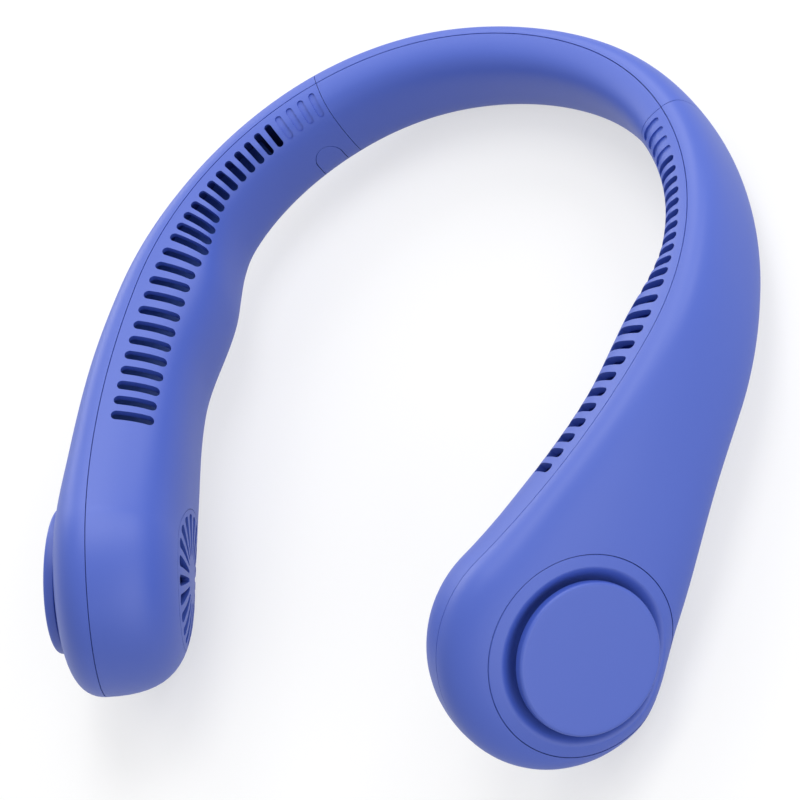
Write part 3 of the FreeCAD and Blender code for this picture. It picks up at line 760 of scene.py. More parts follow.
@dataclass
class Housing:
    """Sizes in millimetres of the U-shaped housing, and the solids that its shells are cut from."""

    arcs: tuple[Pair, ...] = ((89.5, 13.5), (74.0, 82.5), (194.0, 20.0))
    seam_at: float = 56.9
    from_fan: tuple[float, ...] = (98.0, 74.5, 49.5, 22.0)
    heights: tuple[float, ...] = (24.2, 24.3, 28.0, 32.1, 37.0, 48.8, 58.5)
    outers: tuple[float, ...] = (4.5, 6.6, 6.6, 7.7, 8.2, 9.0, 10.8)
    inners: tuple[float, ...] = (9.6, 9.3, 10.8, 18.1, 18.6, 21.5, 22.4)
    leans: tuple[float, ...] = (5.3, 3.8, 8.3, 10.7, 16.8, 20.4, 22.2)
    outer_fullness: float = 0.72
    inner_fullness: float = 0.72
    strip_fullness: float = 0.80
    wall: float = 1.8
    parting_gap: float = 0.08
    groove_width: float = 0.24
    groove_floor: float = 0.36
    groove_depth: float = 0.45
    seam_gap: float = 0.16
    over: float = 2.0
    row_step: float = 1.3
    quarter_chords: int = 18
    hollow_chords: int = 9
    end_turns: int = 60
    rest_tilt: float = -12.0006
    rest_shift: Triple = (0.0, 1.63308, 42.6533)
    rest: Matrix = field(init=False)
    stations: np.ndarray = field(init=False)
    fan_at: float = field(init=False)

    def __post_init__(self) -> None:
        """Work out the stations and the matrix that stands the housing on its table."""
        self.fan_at = sum(radius * math.radians(angle) for radius, angle in self.arcs)
        late = (self.fan_at - distance for distance in self.from_fan)
        self.stations = np.array([0.0, self.seam_at, *late, self.fan_at])
        turn = Matrix.Rotation(math.radians(self.rest_tilt), 4, "X")
        self.rest = Matrix.Scale(MM, 4) @ Matrix.Translation(self.rest_shift) @ turn

    def seat(self, origin: np.ndarray, x: np.ndarray, y: np.ndarray, z: np.ndarray) -> Matrix:
        """Frame in the part's frame, without scale, of an origin and axes by the ridge."""
        place = self.rest @ frame_matrix(origin, x, y, z)
        return Matrix.Translation(place.translation) @ place.to_3x3().normalized().to_4x4()

    def blended(self, values: Sequence[float], along: float) -> float:
        """Smooth value at a place along the ridge, level at both ends.

        Args:
            values: One value for each station.
            along: Distance from the back of the neck.

        Returns:
            The value there.
        """
        places = self.stations
        slopes = [0.0] * len(values)
        for k in range(1, len(values) - 1):
            slopes[k] = (values[k + 1] - values[k - 1]) / (places[k + 1] - places[k - 1])
        k = 0
        while k < len(values) - 2 and along > places[k + 1]:
            k += 1
        span = places[k + 1] - places[k]
        t = clamped((along - places[k]) / span)
        rise = smoothstep(t)
        bend = t * (1.0 - t) * span * (slopes[k] * (1.0 - t) - slopes[k + 1] * t)
        return values[k] * (1.0 - rise) + values[k + 1] * rise + bend

    def ridge(self, along: float) -> tuple[np.ndarray, np.ndarray]:
        """Point of the ridge and the way outward from it.

        Args:
            along: Distance from the back of the neck.

        Returns:
            The point and a level unit vector.
        """
        centre = np.zeros(3)
        turned = 0.0
        left = along
        for k, (radius, degrees) in enumerate(self.arcs):
            angle = math.radians(degrees)
            if k == len(self.arcs) - 1 or left <= radius * angle:
                turned += left / radius
                break
            turned += angle
            left -= radius * angle
            outward = np.array([math.sin(turned), math.cos(turned), 0.0])
            centre = centre + outward * (radius - self.arcs[k + 1][0])
        outward = np.array([math.sin(turned), math.cos(turned), 0.0])
        return centre + outward * radius, outward

    def section(self, along: float) -> Section:
        """Cross-section at a place; one before the back of the neck is on the left.

        Args:
            along: Distance from the back of the neck.

        Returns:
            The section in the frame of the ridge.
        """
        place = abs(along)
        height, outer, inner, lean = (
            self.blended(values, place) for values in (self.heights, self.outers, self.inners, self.leans)
        )
        lean = math.radians(lean)
        top, outward = self.ridge(place)
        out = outward * math.cos(lean) + UPWARD * math.sin(lean)
        up = UPWARD * math.cos(lean) - outward * math.sin(lean)
        centre = top - up * (height / 2)
        if along < 0:
            out, up, centre = out * MIRROR, up * MIRROR, centre * MIRROR
        fullness = (self.outer_fullness, self.inner_fullness, self.strip_fullness)
        return Section(height, outer, inner, centre, out, up, np.cross(out, up), *fullness)

    def sections(self, start: float, end: float) -> list[Section]:
        """Evenly placed sections of a run."""
        rows = max(2, int(abs(end - start) / self.row_step))
        return [self.section(place) for place in np.linspace(start, end, rows + 1)]

    def half(self, side: Side, start: float, end: float, name: str) -> Mesh:
        """One half of a run as a solid, round-ended where it reaches the fan.

        Args:
            side: Outer or inner half.
            start: First place along the ridge.
            end: Last place along the ridge.
            name: Name of the mesh.

        Returns:
            Closed mesh.
        """
        gap, count = self.parting_gap / 2, self.quarter_chords
        loops = np.array([s.half_loop(side, 0.0, count, gap) for s in self.sections(start, end)])
        skin = Skin()
        skin.patch(loops)
        skin.patch(np.stack([loops[:, -1], loops[:, 0]], axis=1))
        skin.lid(loops[0])
        if end < self.fan_at:
            skin.lid(loops[-1])
        else:
            rows = self.section(self.fan_at).half_turn(side, 0.0, count, self.end_turns, gap)
            skin.patch(rows)
            skin.lid(rows[:, 0])
        return skin.mesh(name, self.rest)

    def hollow(self, inset: float, start: float, end: float, name: str) -> Mesh:
        """Inside of a run, drawn in from the outer surface.

        Args:
            inset: Distance from the outer surface.
            start: First place along the ridge.
            end: Last place along the ridge.
            name: Name of the mesh.

        Returns:
            Closed mesh.
        """
        count = self.hollow_chords
        loops = np.array([s.ring(inset, count) for s in self.sections(start, end)])
        skin = Skin()
        skin.patch(loops)
        skin.lid(loops[0, :-1])
        if end < self.fan_at:
            skin.lid(loops[-1, :-1])
        else:
            last = self.section(self.fan_at)
            for side in Side:
                skin.patch(last.half_turn(side, inset, count, self.end_turns // 2))
        return skin.mesh(name, self.rest)

    def _groove_corners(self, half: float) -> np.ndarray:
        """Corners of the groove's cutter, a little wider outside.

        Args:
            half: Half the height of the section.

        Returns:
            Array of (out, up) pairs; the last repeats the first.
        """
        low, high = half - self.groove_depth, half + self.over
        narrow = self.groove_width * self.groove_floor
        slope = (self.groove_width / 2 - narrow) / self.groove_depth
        wide = narrow + slope * (high - low)
        return np.array([(narrow, low), (wide, high), (-wide, high), (-narrow, low), (narrow, low)])

    def groove(self, start: float, end: float, name: str) -> Mesh:
        """Cutter for the fine line where the two halves meet.

        Args:
            start: First place along the ridge.
            end: Last place along the ridge.
            name: Name of the mesh.

        Returns:
            Closed mesh, along the ridge, round a fan end and back along the foot.
        """
        sections = self.sections(start, end)
        flats = [self._groove_corners(s.height / 2) for s in sections]
        ridge = [s.lay(flat) for s, flat in zip(sections, flats)]
        foot = [s.lay(flat * np.array([1.0, -1.0])) for s, flat in zip(sections, flats)]
        runs = [ridge, foot]
        if end >= self.fan_at:
            angles = np.linspace(0.0, math.pi, self.end_turns + 1)[1:-1]
            runs = [[*ridge, *sections[-1].turned(flats[-1], angles), *foot[::-1]]]
        skin = Skin()
        for run in runs:
            grid = np.array(run)
            skin.patch(grid)
            skin.lid(grid[0, :-1])
            skin.lid(grid[-1, :-1])
        return skin.mesh(name, self.rest)


class Surface:
    """Exact outer surface of the whole housing, for heights and for smooth normals."""

    EXTRA_CHORDS = 8
    ROW_STEP = 0.9
    REACH = 0.00004
    CREASE = 32.0
    FACING = 0.9

    def __init__(self, housing: Housing) -> None:
        """Lay out the surface finely on both sides.

        Args:
            housing: Housing to follow.
        """
        count = housing.quarter_chords + self.EXTRA_CHORDS
        places = np.linspace(0.0, housing.fan_at, int(housing.fan_at / self.ROW_STEP) + 1)
        right = [np.array([housing.section(p).ring(0.0, count) for p in places])]
        last = housing.section(housing.fan_at)
        right += [last.half_turn(side, 0.0, count, housing.end_turns * 2) for side in Side]
        skin = Skin()
        for grid in right:
            skin.patch(grid)
            skin.patch((grid * MIRROR)[:, ::-1])
        points, faces = skin.merged()
        matrix = np.array(housing.rest)
        self.points = points @ matrix[:3, :3].T + matrix[:3, 3]
        split = ([f[:3], [f[0], f[2], f[3]]] if len(f) == 4 else [f] for f in faces)
        self.corners = np.array([triangle for triangles in split for triangle in triangles])
        a, b, c = (self.points[self.corners[:, k]] for k in range(3))
        normals = np.cross(b - a, c - a)
        self.normals = np.zeros_like(self.points)
        for k in range(3):
            np.add.at(self.normals, self.corners[:, k], normals)
        self.normals /= np.linalg.norm(self.normals, axis=1, keepdims=True)
        self.tree = BVHTree.FromPolygons(self.points.tolist(), self.corners.tolist())
        top = self.normals[np.argmax(self.points[:, 2])]
        if top[2] < 0:
            self.normals = -self.normals
        LOG.info("surface: %d triangles", len(self.corners))

    def normal_at(self, place: Vector, index: int) -> np.ndarray:
        """Smooth normal inside one triangle.

        Args:
            place: Point on the triangle.
            index: Number of the triangle.

        Returns:
            Unit normal.
        """
        a, b, c = self.points[self.corners[index]]
        p = np.array(place)
        whole = np.linalg.norm(np.cross(b - a, c - a))
        u = np.linalg.norm(np.cross(b - p, c - p)) / whole
        v = np.linalg.norm(np.cross(c - p, a - p)) / whole
        weights = np.array([u, v, max(0.0, 1.0 - u - v)])
        return unit(weights @ self.normals[self.corners[index]])

    def height(self, origin: Vector, way: Vector) -> float:
        """Distance to the surface along a ray.

        Args:
            origin: Start of the ray.
            way: Unit direction.

        Returns:
            The distance in metres.
        """
        found = self.tree.ray_cast(origin, way)
        if found[0] is None:
            raise ValueError(f"no surface from {tuple(origin)} along {tuple(way)}")
        return found[3]

    def smooth(self, mesh: Mesh) -> None:
        """Give a mesh the surface's own normals where it lies on the surface.

        Args:
            mesh: Mesh to shade.
        """
        mesh.polygons.foreach_set("use_smooth", [True] * len(mesh.polygons))
        mesh.set_sharp_from_angle(angle=math.radians(self.CREASE))
        corners = np.zeros(len(mesh.loops) * 3)
        mesh.corner_normals.foreach_get("vector", corners)
        corners = corners.reshape(-1, 3)
        near: dict[int, np.ndarray] = {}
        for vertex in mesh.vertices:
            place, _, index, _ = self.tree.find_nearest(vertex.co, self.REACH)
            if place is not None:
                near[vertex.index] = self.normal_at(place, index)
        for face in mesh.polygons:
            flat = np.array(face.normal)
            for k in face.loop_indices:
                exact = near.get(mesh.loops[k].vertex_index)
                if exact is not None and exact @ flat > self.FACING:
                    corners[k] = exact
        mesh.normals_split_custom_set(corners.tolist())


# Pieces


@dataclass
class Workshop:
    """What every sub-assembly needs: the housing, its surface, the repeats and the finishes."""

    housing: Housing
    surface: Surface
    repeats: Repeats
    finishes: dict[str, Material]

    def place(self, node: str, mesh: Mesh, body: str = "housing", slot: str = "shell_plastic") -> None:
        """Shade, dress and mount a finished piece.

        Args:
            node: CAD node that it stands for.
            mesh: Its mesh in the part's frame.
            body: CAD body that it rides on.
            slot: Material slot of the record.
        """
        self.surface.smooth(mesh)
        mesh.materials.append(self.finishes[slot])
        piece = scene_object(node + "_skin", mesh)
        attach(piece, body)
        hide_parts(node)
        LOG.info("%s: %d faces for %s on %s", piece.name, len(mesh.polygons), node, body)

    def both_hands(self, name: str, mesh: Mesh) -> None:
        """Place a right-hand mesh and its mirror image.

        Args:
            name: Name of the node, without the hand.
            mesh: Right-hand mesh.
        """
        left = mirrored(mesh)
        for hand, made in ((Hand.RIGHT, mesh), (Hand.LEFT, left)):
            self.place(f"{hand.value}_{name}", made)


@dataclass
class NeckPiece:
    """Outer and inner moulded halves at the back of the neck."""

    shop: Workshop

    def build(self) -> None:
        """Cut and place both halves."""
        housing = self.shop.housing
        end = housing.seam_at - housing.seam_gap / 2
        reach = housing.seam_at + housing.over
        hollow = housing.hollow(housing.wall, -reach, reach, "neck_hollow")
        groove = housing.groove(-reach, reach, "neck_groove")
        for side in Side:
            name = f"neck_{side.name.lower()}_shell"
            blank = housing.half(side, -end, end, name + "_blank")
            self.shop.place(name, carved(name, blank, [hollow.copy(), groove.copy()]))


@dataclass
class AirSlots:
    """Rows of slots along the top strips, in millimetres."""

    shop: Workshop
    first_from_fan: float = 28.3
    wide_count: int = 13
    wide_pitch: float = 4.55
    narrow_pitch: float = 3.54
    blind_count: int = 4
    from_ridge: float = 3.4
    from_ridge_at_seam: float = 2.1
    length: float = 10.8
    length_at_seam: float = 6.8
    shortening_count: int = 5
    width: float = 2.6
    width_at_seam: float = 1.7
    blind_depth: float = 0.4
    blind_run: float = 40.0
    to_seam: float = 2.3
    strip_chords: int = 240

    def distances(self) -> list[float]:
        """Distances of the slots from the fan's section along the ridge.

        Returns:
            One distance for each slot, the widest first.
        """
        housing = self.shop.housing
        wide = [self.first_from_fan + k * self.wide_pitch for k in range(self.wide_count)]
        room = housing.fan_at - housing.seam_at - self.to_seam - wide[-1]
        count = int(room / self.narrow_pitch)
        return wide + [wide[-1] + (k + 1) * self.narrow_pitch for k in range(count)]

    def _frame(self, distance: float, from_ridge: float) -> Matrix:
        """Frame on the top strip: Y away from the ridge, Z out of the surface.

        Args:
            distance: Distance from the fan's section.
            from_ridge: Distance of the frame from the ridge.

        Returns:
            Frame in the part's frame, without scale.
        """
        housing = self.shop.housing
        section = housing.section(housing.fan_at - distance)
        line = section.lay(section.quarter(Side.INNER, 1, 0.0, self.strip_chords))
        lengths = np.concatenate([[0.0], np.cumsum(np.linalg.norm(np.diff(line, axis=0), axis=1))])
        k = int(np.searchsorted(lengths, from_ridge))
        along = unit(line[k + 1] - line[k - 1])
        outward = -np.cross(section.ahead, along)
        share = (from_ridge - lengths[k - 1]) / (lengths[k] - lengths[k - 1])
        middle = line[k - 1] * (1.0 - share) + line[k] * share
        return housing.seat(middle, np.cross(along, outward), along, outward)

    def cutters(self) -> list[Mesh]:
        """Cutters for the open slots and for the shallow ones by the seam.

        Returns:
            Two closed meshes.
        """
        housing, bars = self.shop.housing, self.shop.repeats.bars
        distances = self.distances()
        places, sizes = [], []
        for k, distance in enumerate(distances):
            share = k / (len(distances) - 1)
            shortened = clamped((k + 1 - self.wide_count) / self.shortening_count)
            length = between(self.length, self.length_at_seam, shortened)
            width = between(self.width, self.width_at_seam, share)
            from_ridge = between(self.from_ridge, self.from_ridge_at_seam, share)
            places.append(self._frame(distance, from_ridge + length / 2))
            sizes.append((length * MM, width * MM))
        depth, reach = (housing.wall + housing.over) * MM, housing.over * MM
        blind = len(distances) - self.blind_count
        opened = bars("open_slots", places[:blind], sizes[:blind], depth, reach)
        shallow = bars("blind_slots", places[blind:], sizes[blind:], depth, reach)
        start = housing.seam_at - housing.over
        floor = housing.hollow(self.blind_depth, start, start + self.blind_run, "blind_floor")
        return [opened, carved("blind_slots", shallow, [floor])]


@dataclass
class FanEnd:
    """Right-hand fan's place, cover, cap and grille, in degrees and in millimetres of its own frame."""

    shop: Workshop
    setback: float = 1.8
    drop: float = 3.15
    turn: float = 5.5
    dip: float = 3.2
    cover_radius: float = 24.1
    cover_clearance: float = 0.16
    cover_edge: float = 0.14
    cover_seat: float = 3.4
    cover_plate: float = 1.8
    cover_hole_top: float = 30.0
    rim_rows: int = 4
    dish_from: float = 21.8
    dish_to: float = 16.9
    dish_rows: int = 18
    floor_rows: int = 6
    probe_height: float = 40.0
    throat_radius: float = 12.5
    throat_bevel: float = 0.4
    lip_wall: float = 1.2
    lip_depth: float = 1.6
    hub_radius: float = 5.6
    hub_height: float = 3.0
    hub_sink: float = 0.01
    hub_rounding: float = 0.5
    hub_chords: int = 4
    hub_turns: int = 48
    bore_room: float = 0.05
    bore_span: Pair = (-10.0, 40.0)
    spokes: int = 4
    spoke_width: float = 2.4
    cap_radius: float = 18.2
    cap_under: float = 8.4
    cap_under_rounding: float = 0.35
    cap_under_chords: int = 4
    cap_top: float = 11.1
    cap_rounding: float = 0.8
    cap_arc: float = 84.0
    cap_chords: int = 10
    cap_crown: float = 0.12
    crown_from: float = 0.96
    crown_rows: int = 12
    stem_radius: float = 3.8
    stem_lift: float = 0.15
    stem_bevel: float = 0.3
    stem_fillet: float = 0.6
    grille_radius: float = 17.4
    grille_clearance: float = 0.14
    grille_thickness: float = 1.8
    grille_reach: float = 8.0
    leaf_count: int = 20
    leaf_inner: float = 6.0
    leaf_outer: float = 16.3
    leaf_narrow: float = 0.9
    leaf_wide: float = 2.9
    leaf_flatness: float = 0.55
    leaf_outer_chords: int = 10
    leaf_inner_chords: int = 6
    leaf_reach: float = 4.0
    leaf_over: float = 6.0
    boss_radius: float = 5.2
    boss_depth: float = 1.3
    boss_sink: float = 1.0
    fan_inner: float = 22.4
    turns: int = 144
    place: Matrix = field(init=False)

    def __post_init__(self) -> None:
        """Find the fan's frame in the part's: Z out along the axis, X ahead."""
        housing = self.shop.housing
        section = housing.section(housing.fan_at)
        base = frame_matrix(section.centre, section.ahead, -section.up, section.out)
        shift = Matrix.Translation((-self.setback, self.drop, 0.0))
        dip = Matrix.Rotation(math.radians(-self.dip), 4, "X")
        turn = Matrix.Rotation(math.radians(-self.turn), 4, "Y")
        self.place = housing.rest @ base @ shift @ (dip @ turn)

    def _lathe(self, name: str, profile: Sequence[Pair], turns: int) -> Mesh:
        """Solid of revolution about the fan's axis.

        Args:
            name: Name of the mesh.
            profile: Points (radius, height), from the axis and back to it.
            turns: Segments round the axis.

        Returns:
            Closed mesh.
        """
        angles = np.linspace(0.0, FULL_TURN, turns + 1)
        angles[-1] = 0.0
        radii, heights = np.array(profile).T
        across, along = np.outer(radii, np.cos(angles)), np.outer(radii, np.sin(angles))
        skin = Skin()
        skin.patch(np.stack([across, along, np.repeat(heights[:, None], turns + 1, 1)], axis=-1))
        return skin.mesh(name, self.place)

    def _drum(self, name: str, radius: float, span: Pair, turns: int) -> Mesh:
        """Plain cylinder about the fan's axis, between two heights."""
        low, high = span
        return self._lathe(name, [(0.0, low), (radius, low), (radius, high), (0.0, high)], turns)

    def cover_hole(self) -> Mesh:
        """Cutter for the cover's hole in the outer shell."""
        radius = self.cover_radius + self.cover_clearance
        return self._drum("cover_hole", radius, (self.cover_seat, self.cover_hole_top), self.turns)

    def grille_disc(self, extra: float) -> Mesh:
        """Round bar through the inner face, for the grille and for its hole."""
        span = (-self.fan_inner - self.grille_reach, -self.fan_inner / 2)
        return self._drum("grille_disc", self.grille_radius + extra, span, self.turns)

    def _cover_radii(self) -> list[float]:
        """Radii of the cover's upper rows.

        Returns:
            Radii from the outer edge over the rim and the dish to the throat.
        """
        rim = np.linspace(self.cover_radius - self.cover_edge, self.dish_from, self.rim_rows)
        dish = np.linspace(self.dish_from, self.dish_to, self.dish_rows)[1:]
        floor = np.linspace(self.dish_to, self.throat_radius + self.throat_bevel, self.floor_rows)[1:]
        return [self.cover_radius, *rim, *dish, *floor]

    def _cover_ring(self) -> Mesh:
        """Ring of the cover without its spokes.

        Returns:
            Closed mesh.
        """
        floor = self.cover_seat + self.cover_plate
        circle = [(math.cos(a), math.sin(a)) for a in np.linspace(0.0, FULL_TURN, self.turns + 1)[:-1]]
        way = (self.place.to_3x3() @ Vector((0.0, 0.0, -1.0))).normalized()
        rows = []
        for k, radius in enumerate(self._cover_radii()):
            dip = smoothstep(clamped((self.dish_from - radius) / (self.dish_from - self.dish_to)))
            bevel = self.cover_edge if k == 0 else 0.0
            row = []
            for across, along in circle:
                x, y = radius * across, radius * along
                height = floor
                if dip < 1.0:
                    probe = self.place @ Vector((x, y, self.probe_height))
                    flush = self.probe_height - self.shop.surface.height(probe, way) / MM
                    height = flush * (1.0 - dip) + floor * dip
                row.append((x, y, height - bevel))
            rows.append(row)
        wall, lip = self.throat_radius, self.throat_radius + self.lip_wall
        foot = self.cover_seat - self.lip_depth
        under = [(wall, floor - self.throat_bevel), (wall, foot), (lip, foot)]
        under += [(lip, self.cover_seat), (self.cover_radius, self.cover_seat)]
        for radius, height in under:
            rows.append([(radius * across, radius * along, height) for across, along in circle])
        grid = np.array([*rows, rows[0]])
        skin = Skin()
        skin.patch(np.concatenate([grid, grid[:, :1]], axis=1))
        return skin.mesh("cover_ring", self.place)

    def cover(self) -> Mesh:
        """Ring flush with the outer shell that dishes down under the cap.

        Returns:
            Closed mesh.
        """
        seat, leaves = self.cover_seat, self.shop.repeats.leaves
        reach, half = self.throat_radius + self.lip_wall / 2, self.spoke_width / 2
        outline = [(0.0, -half), (reach, -half), (reach, half), (0.0, half)]
        bars = leaves("cover_spokes", outline, seat, self.cover_plate, self.spokes, self.place)
        top, edge = seat + self.hub_height, self.hub_rounding
        profile = [(0.0, seat - self.hub_sink), (self.hub_radius, seat - self.hub_sink)]
        profile += rounded((self.hub_radius - edge, top - edge), edge, 0.0, 90.0, self.hub_chords)
        hub = self._lathe("cover_hub", [*profile, (0.0, top)], self.hub_turns)
        bore = self.stem_radius + self.bore_room
        hole = self._drum("cover_bore", bore, self.bore_span, self.hub_turns)
        steps = [(Cut.TOGETHER, bars), (Cut.TOGETHER, hub), (Cut.AWAY, hole)]
        return worked("intake_cover", self._cover_ring(), steps)

    def cap(self) -> Mesh:
        """Raised disc with a rounded rim, a flat back and a stem.

        Returns:
            Closed mesh.
        """
        foot, stem = self.cover_seat + self.stem_lift, self.stem_radius
        edge, under = self.cap_radius - self.cap_rounding, self.cap_under_rounding
        profile = [(0.0, foot), (stem - self.stem_bevel, foot), (stem, foot + self.stem_bevel)]
        profile += [(stem, self.cap_under - self.stem_fillet), (stem + self.stem_fillet, self.cap_under)]
        low = (self.cap_radius - under, self.cap_under + under)
        profile += rounded(low, under, -90.0, 0.0, self.cap_under_chords)
        high = (edge, self.cap_top - self.cap_rounding)
        profile += rounded(high, self.cap_rounding, 0.0, self.cap_arc, self.cap_chords)
        for share in np.linspace(self.crown_from, 0.0, self.crown_rows):
            profile.append((edge * share, self.cap_top + self.cap_crown * (1.0 - share * share)))
        return self._lathe("intake_cap", profile, self.turns)

    def leaf(self) -> list[Pair]:
        """Outline of one tapered slot with rounded ends, about the X axis.

        Returns:
            Its corners in order.
        """
        narrow, wide = self.leaf_narrow / 2, self.leaf_wide / 2
        end = wide * self.leaf_flatness
        bow = rounded((0.0, 0.0), 1.0, -90.0, 90.0, self.leaf_outer_chords)
        outer = [(self.leaf_outer - end + x * end, y * wide) for x, y in bow]
        return outer + rounded((self.leaf_inner + narrow, 0.0), narrow, 90.0, 270.0, self.leaf_inner_chords)

    def grille(self, blank: Mesh, hollow: Mesh) -> Mesh:
        """Round grille flush with the inner shell.

        Args:
            blank: Solid inner half of the arm.
            hollow: Inside of the arm.

        Returns:
            Closed mesh.
        """
        leaves, outline = self.shop.repeats.leaves, self.leaf()
        low, height = -self.fan_inner - self.leaf_reach, self.grille_thickness + self.leaf_over
        slots = leaves("grille_slots", outline, low, height, self.leaf_count, self.place)
        back = -self.fan_inner + self.grille_thickness
        span = (back - self.boss_sink, back + self.boss_depth)
        boss = self._drum("grille_boss", self.boss_radius, span, self.hub_turns)
        steps = [(Cut.COMMON, self.grille_disc(0.0)), (Cut.AWAY, hollow), (Cut.AWAY, slots)]
        return worked("inner_grille", blank, [*steps, (Cut.TOGETHER, boss)])


@dataclass
class Controls:
    """Power button and charging socket of the left arm, laid out in millimetres on the right-hand one."""

    shop: Workshop
    button_from_seam: float = 8.2
    button_width: float = 7.0
    button_length: float = 12.6
    button_pitch: float = 40.0
    button_inward: float = 5.0
    button_below: float = 4.0
    button_gap: float = 0.18
    button_depth: float = 0.4
    button_span: Pair = (-0.2, 9.0)
    button_hole_span: Pair = (-2.0, 9.0)
    button_run: float = 40.0
    port_from_seam: float = 26.5
    port_inward: float = 3.4
    port_width: float = 8.94
    port_height: float = 3.26
    port_depth: float = 7.3
    port_reach: float = 6.0
    port_mouth: float = -1.1
    port_shell: float = 0.3
    port_back: float = 1.0
    port_over: float = 2.0
    port_clearance: float = 0.15
    tongue_thickness: float = 0.7
    tongue_margin: float = 1.4
    tongue_root: float = 0.5
    tongue_setback: float = 1.0

    def button_place(self) -> Matrix:
        """Frame of the button: Z out of the face, Y along it.

        Returns:
            Frame in the part's frame, without scale.
        """
        housing = self.shop.housing
        section = housing.section(housing.seam_at + self.button_from_seam)
        pitch = math.radians(self.button_pitch)
        outward = -section.out * math.cos(pitch) - section.up * math.sin(pitch)
        along = -np.cross(section.ahead, outward)
        origin = section.at(-self.button_inward, -self.button_below)
        return housing.seat(origin, np.cross(along, outward), along, outward)

    def port_place(self) -> Matrix:
        """Frame of the socket: Z down out of its mouth, Y along its width.

        Returns:
            Frame in the part's frame, without scale.
        """
        housing = self.shop.housing
        section = housing.section(housing.seam_at + self.port_from_seam)
        origin = section.at(-self.port_inward, -section.height / 2)
        return housing.seat(origin, section.out, section.ahead, -section.up)

    def _bar(self, name: str, place: Matrix, size: Pair, span: Pair) -> Mesh:
        """One round-ended bar in millimetres between two heights of a frame."""
        (length, width), (low, high) = size, span
        return self.shop.repeats.bars(name, [place], [(length * MM, width * MM)], -low * MM, high * MM)

    def openings(self) -> list[Mesh]:
        """Cutters for the button's and the socket's holes.

        Returns:
            Two closed right-hand meshes.
        """
        extra, room = 2 * self.button_gap, 2 * self.port_clearance
        size = (self.button_length + extra, self.button_width + extra)
        button = self._bar("button_hole", self.button_place(), size, self.button_hole_span)
        size = (self.port_width + room, self.port_height + room)
        return [button, self._bar("port_hole", self.port_place(), size, (-self.port_depth, self.port_reach))]

    def button(self, blank: Mesh) -> Mesh:
        """Flush button cut from the inner half's own solid.

        Args:
            blank: Solid inner half of the arm.

        Returns:
            Closed right-hand mesh.
        """
        housing = self.shop.housing
        size = (self.button_length, self.button_width)
        prism = self._bar("button_prism", self.button_place(), size, self.button_span)
        start, end = housing.seam_at - housing.over, housing.seam_at + self.button_run
        hollow = housing.hollow(housing.wall + self.button_depth, start, end, "button_back")
        return worked("power_button", blank, [(Cut.COMMON, prism), (Cut.AWAY, hollow)])

    def socket(self) -> Mesh:
        """Drawn steel socket with its contact tongue.

        Returns:
            Closed right-hand mesh.
        """
        place, thin = self.port_place(), 2 * self.port_shell
        low, high = self.port_mouth - self.port_depth, self.port_mouth
        shell = self._bar("socket_shell", place, (self.port_width, self.port_height), (low, high))
        size = (self.port_width - thin, self.port_height - thin)
        room = self._bar("socket_room", place, size, (low + self.port_back, high + self.port_over))
        size = (self.port_width - self.tongue_margin * self.port_height, self.tongue_thickness)
        span = (low + self.tongue_root, high - self.tongue_setback)
        tongue = self._bar("socket_tongue", place, size, span)
        return worked("usb_socket", shell, [(Cut.AWAY, room), (Cut.TOGETHER, tongue)])


@dataclass
class Arms:
    """Both arms with their fan ends, slots and controls."""

    shop: Workshop

    def build(self) -> None:
        """Cut and place every visible piece of both arms."""
        shop, housing = self.shop, self.shop.housing
        fan_end, controls = FanEnd(shop), Controls(shop)
        start = housing.seam_at + housing.seam_gap / 2
        before = housing.seam_at - housing.over
        outer_blank, inner_blank = (
            housing.half(side, start, housing.fan_at, f"arm_{side.name.lower()}") for side in Side
        )
        hollow = housing.hollow(housing.wall, before, housing.fan_at, "arm_hollow")
        groove = housing.groove(before, housing.fan_at, "arm_groove")
        tools = [hollow.copy(), groove.copy(), fan_end.cover_hole()]
        shop.both_hands("arm_outer_shell", carved("arm_outer", outer_blank, tools))
        hole = fan_end.grille_disc(fan_end.grille_clearance)
        tools = [hollow.copy(), groove.copy(), hole, *AirSlots(shop).cutters()]
        inner = carved("arm_inner", inner_blank.copy(), tools)
        with_holes = carved("left_arm_inner", inner.copy(), controls.openings())
        shop.place("right_arm_inner_shell", inner)
        shop.place("left_arm_inner_shell", mirrored(with_holes))
        shop.place("power_button", mirrored(controls.button(inner_blank.copy())), body="button")
        shop.place("usb_socket", mirrored(controls.socket()), slot="motor_steel")
        shop.both_hands("intake_cover", fan_end.cover())
        shop.both_hands("intake_cap", fan_end.cap())
        shop.both_hands("inner_grille", fan_end.grille(inner_blank.copy(), hollow))


@dataclass(frozen=True)
class InnerWorks:
    """Finish of each CAD piece that stays as it is, by the ending of its name."""

    endings: tuple[tuple[str, tuple[str, ...]], ...] = (
        # The inside pieces get inner_plastic, a lightened shell blue that carries painted light for their
        # shade.
        ("inner_plastic", ("duct_floor", "fan_scroll", "joint_sleeve", "button_switch", "motor_base")),
        ("wheel_plastic", ("fan_wheel",)),
        ("cell_wrap", ("battery_cell",)),
        ("board", ("board",)),
        ("lead_cover", ("cross_lead",)),
        ("motor_steel", ("rotor_bell", "motor_shaft", "motor_stator")),
    )

    def dress(self, nodes: dict[str, Object], finishes: dict[str, Material]) -> None:
        """Give each remaining CAD piece its material.

        Args:
            nodes: CAD pieces by name.
            finishes: Materials by slot name.
        """
        for name, node in nodes.items():
            if node.hide_render:
                continue
            slot = next(slot for slot, endings in self.endings if name.endswith(endings))
            node.data.materials.clear()
            node.data.materials.append(finishes[slot])
            LOG.info("%s: kept with finish %s", name, slot)


# Studio


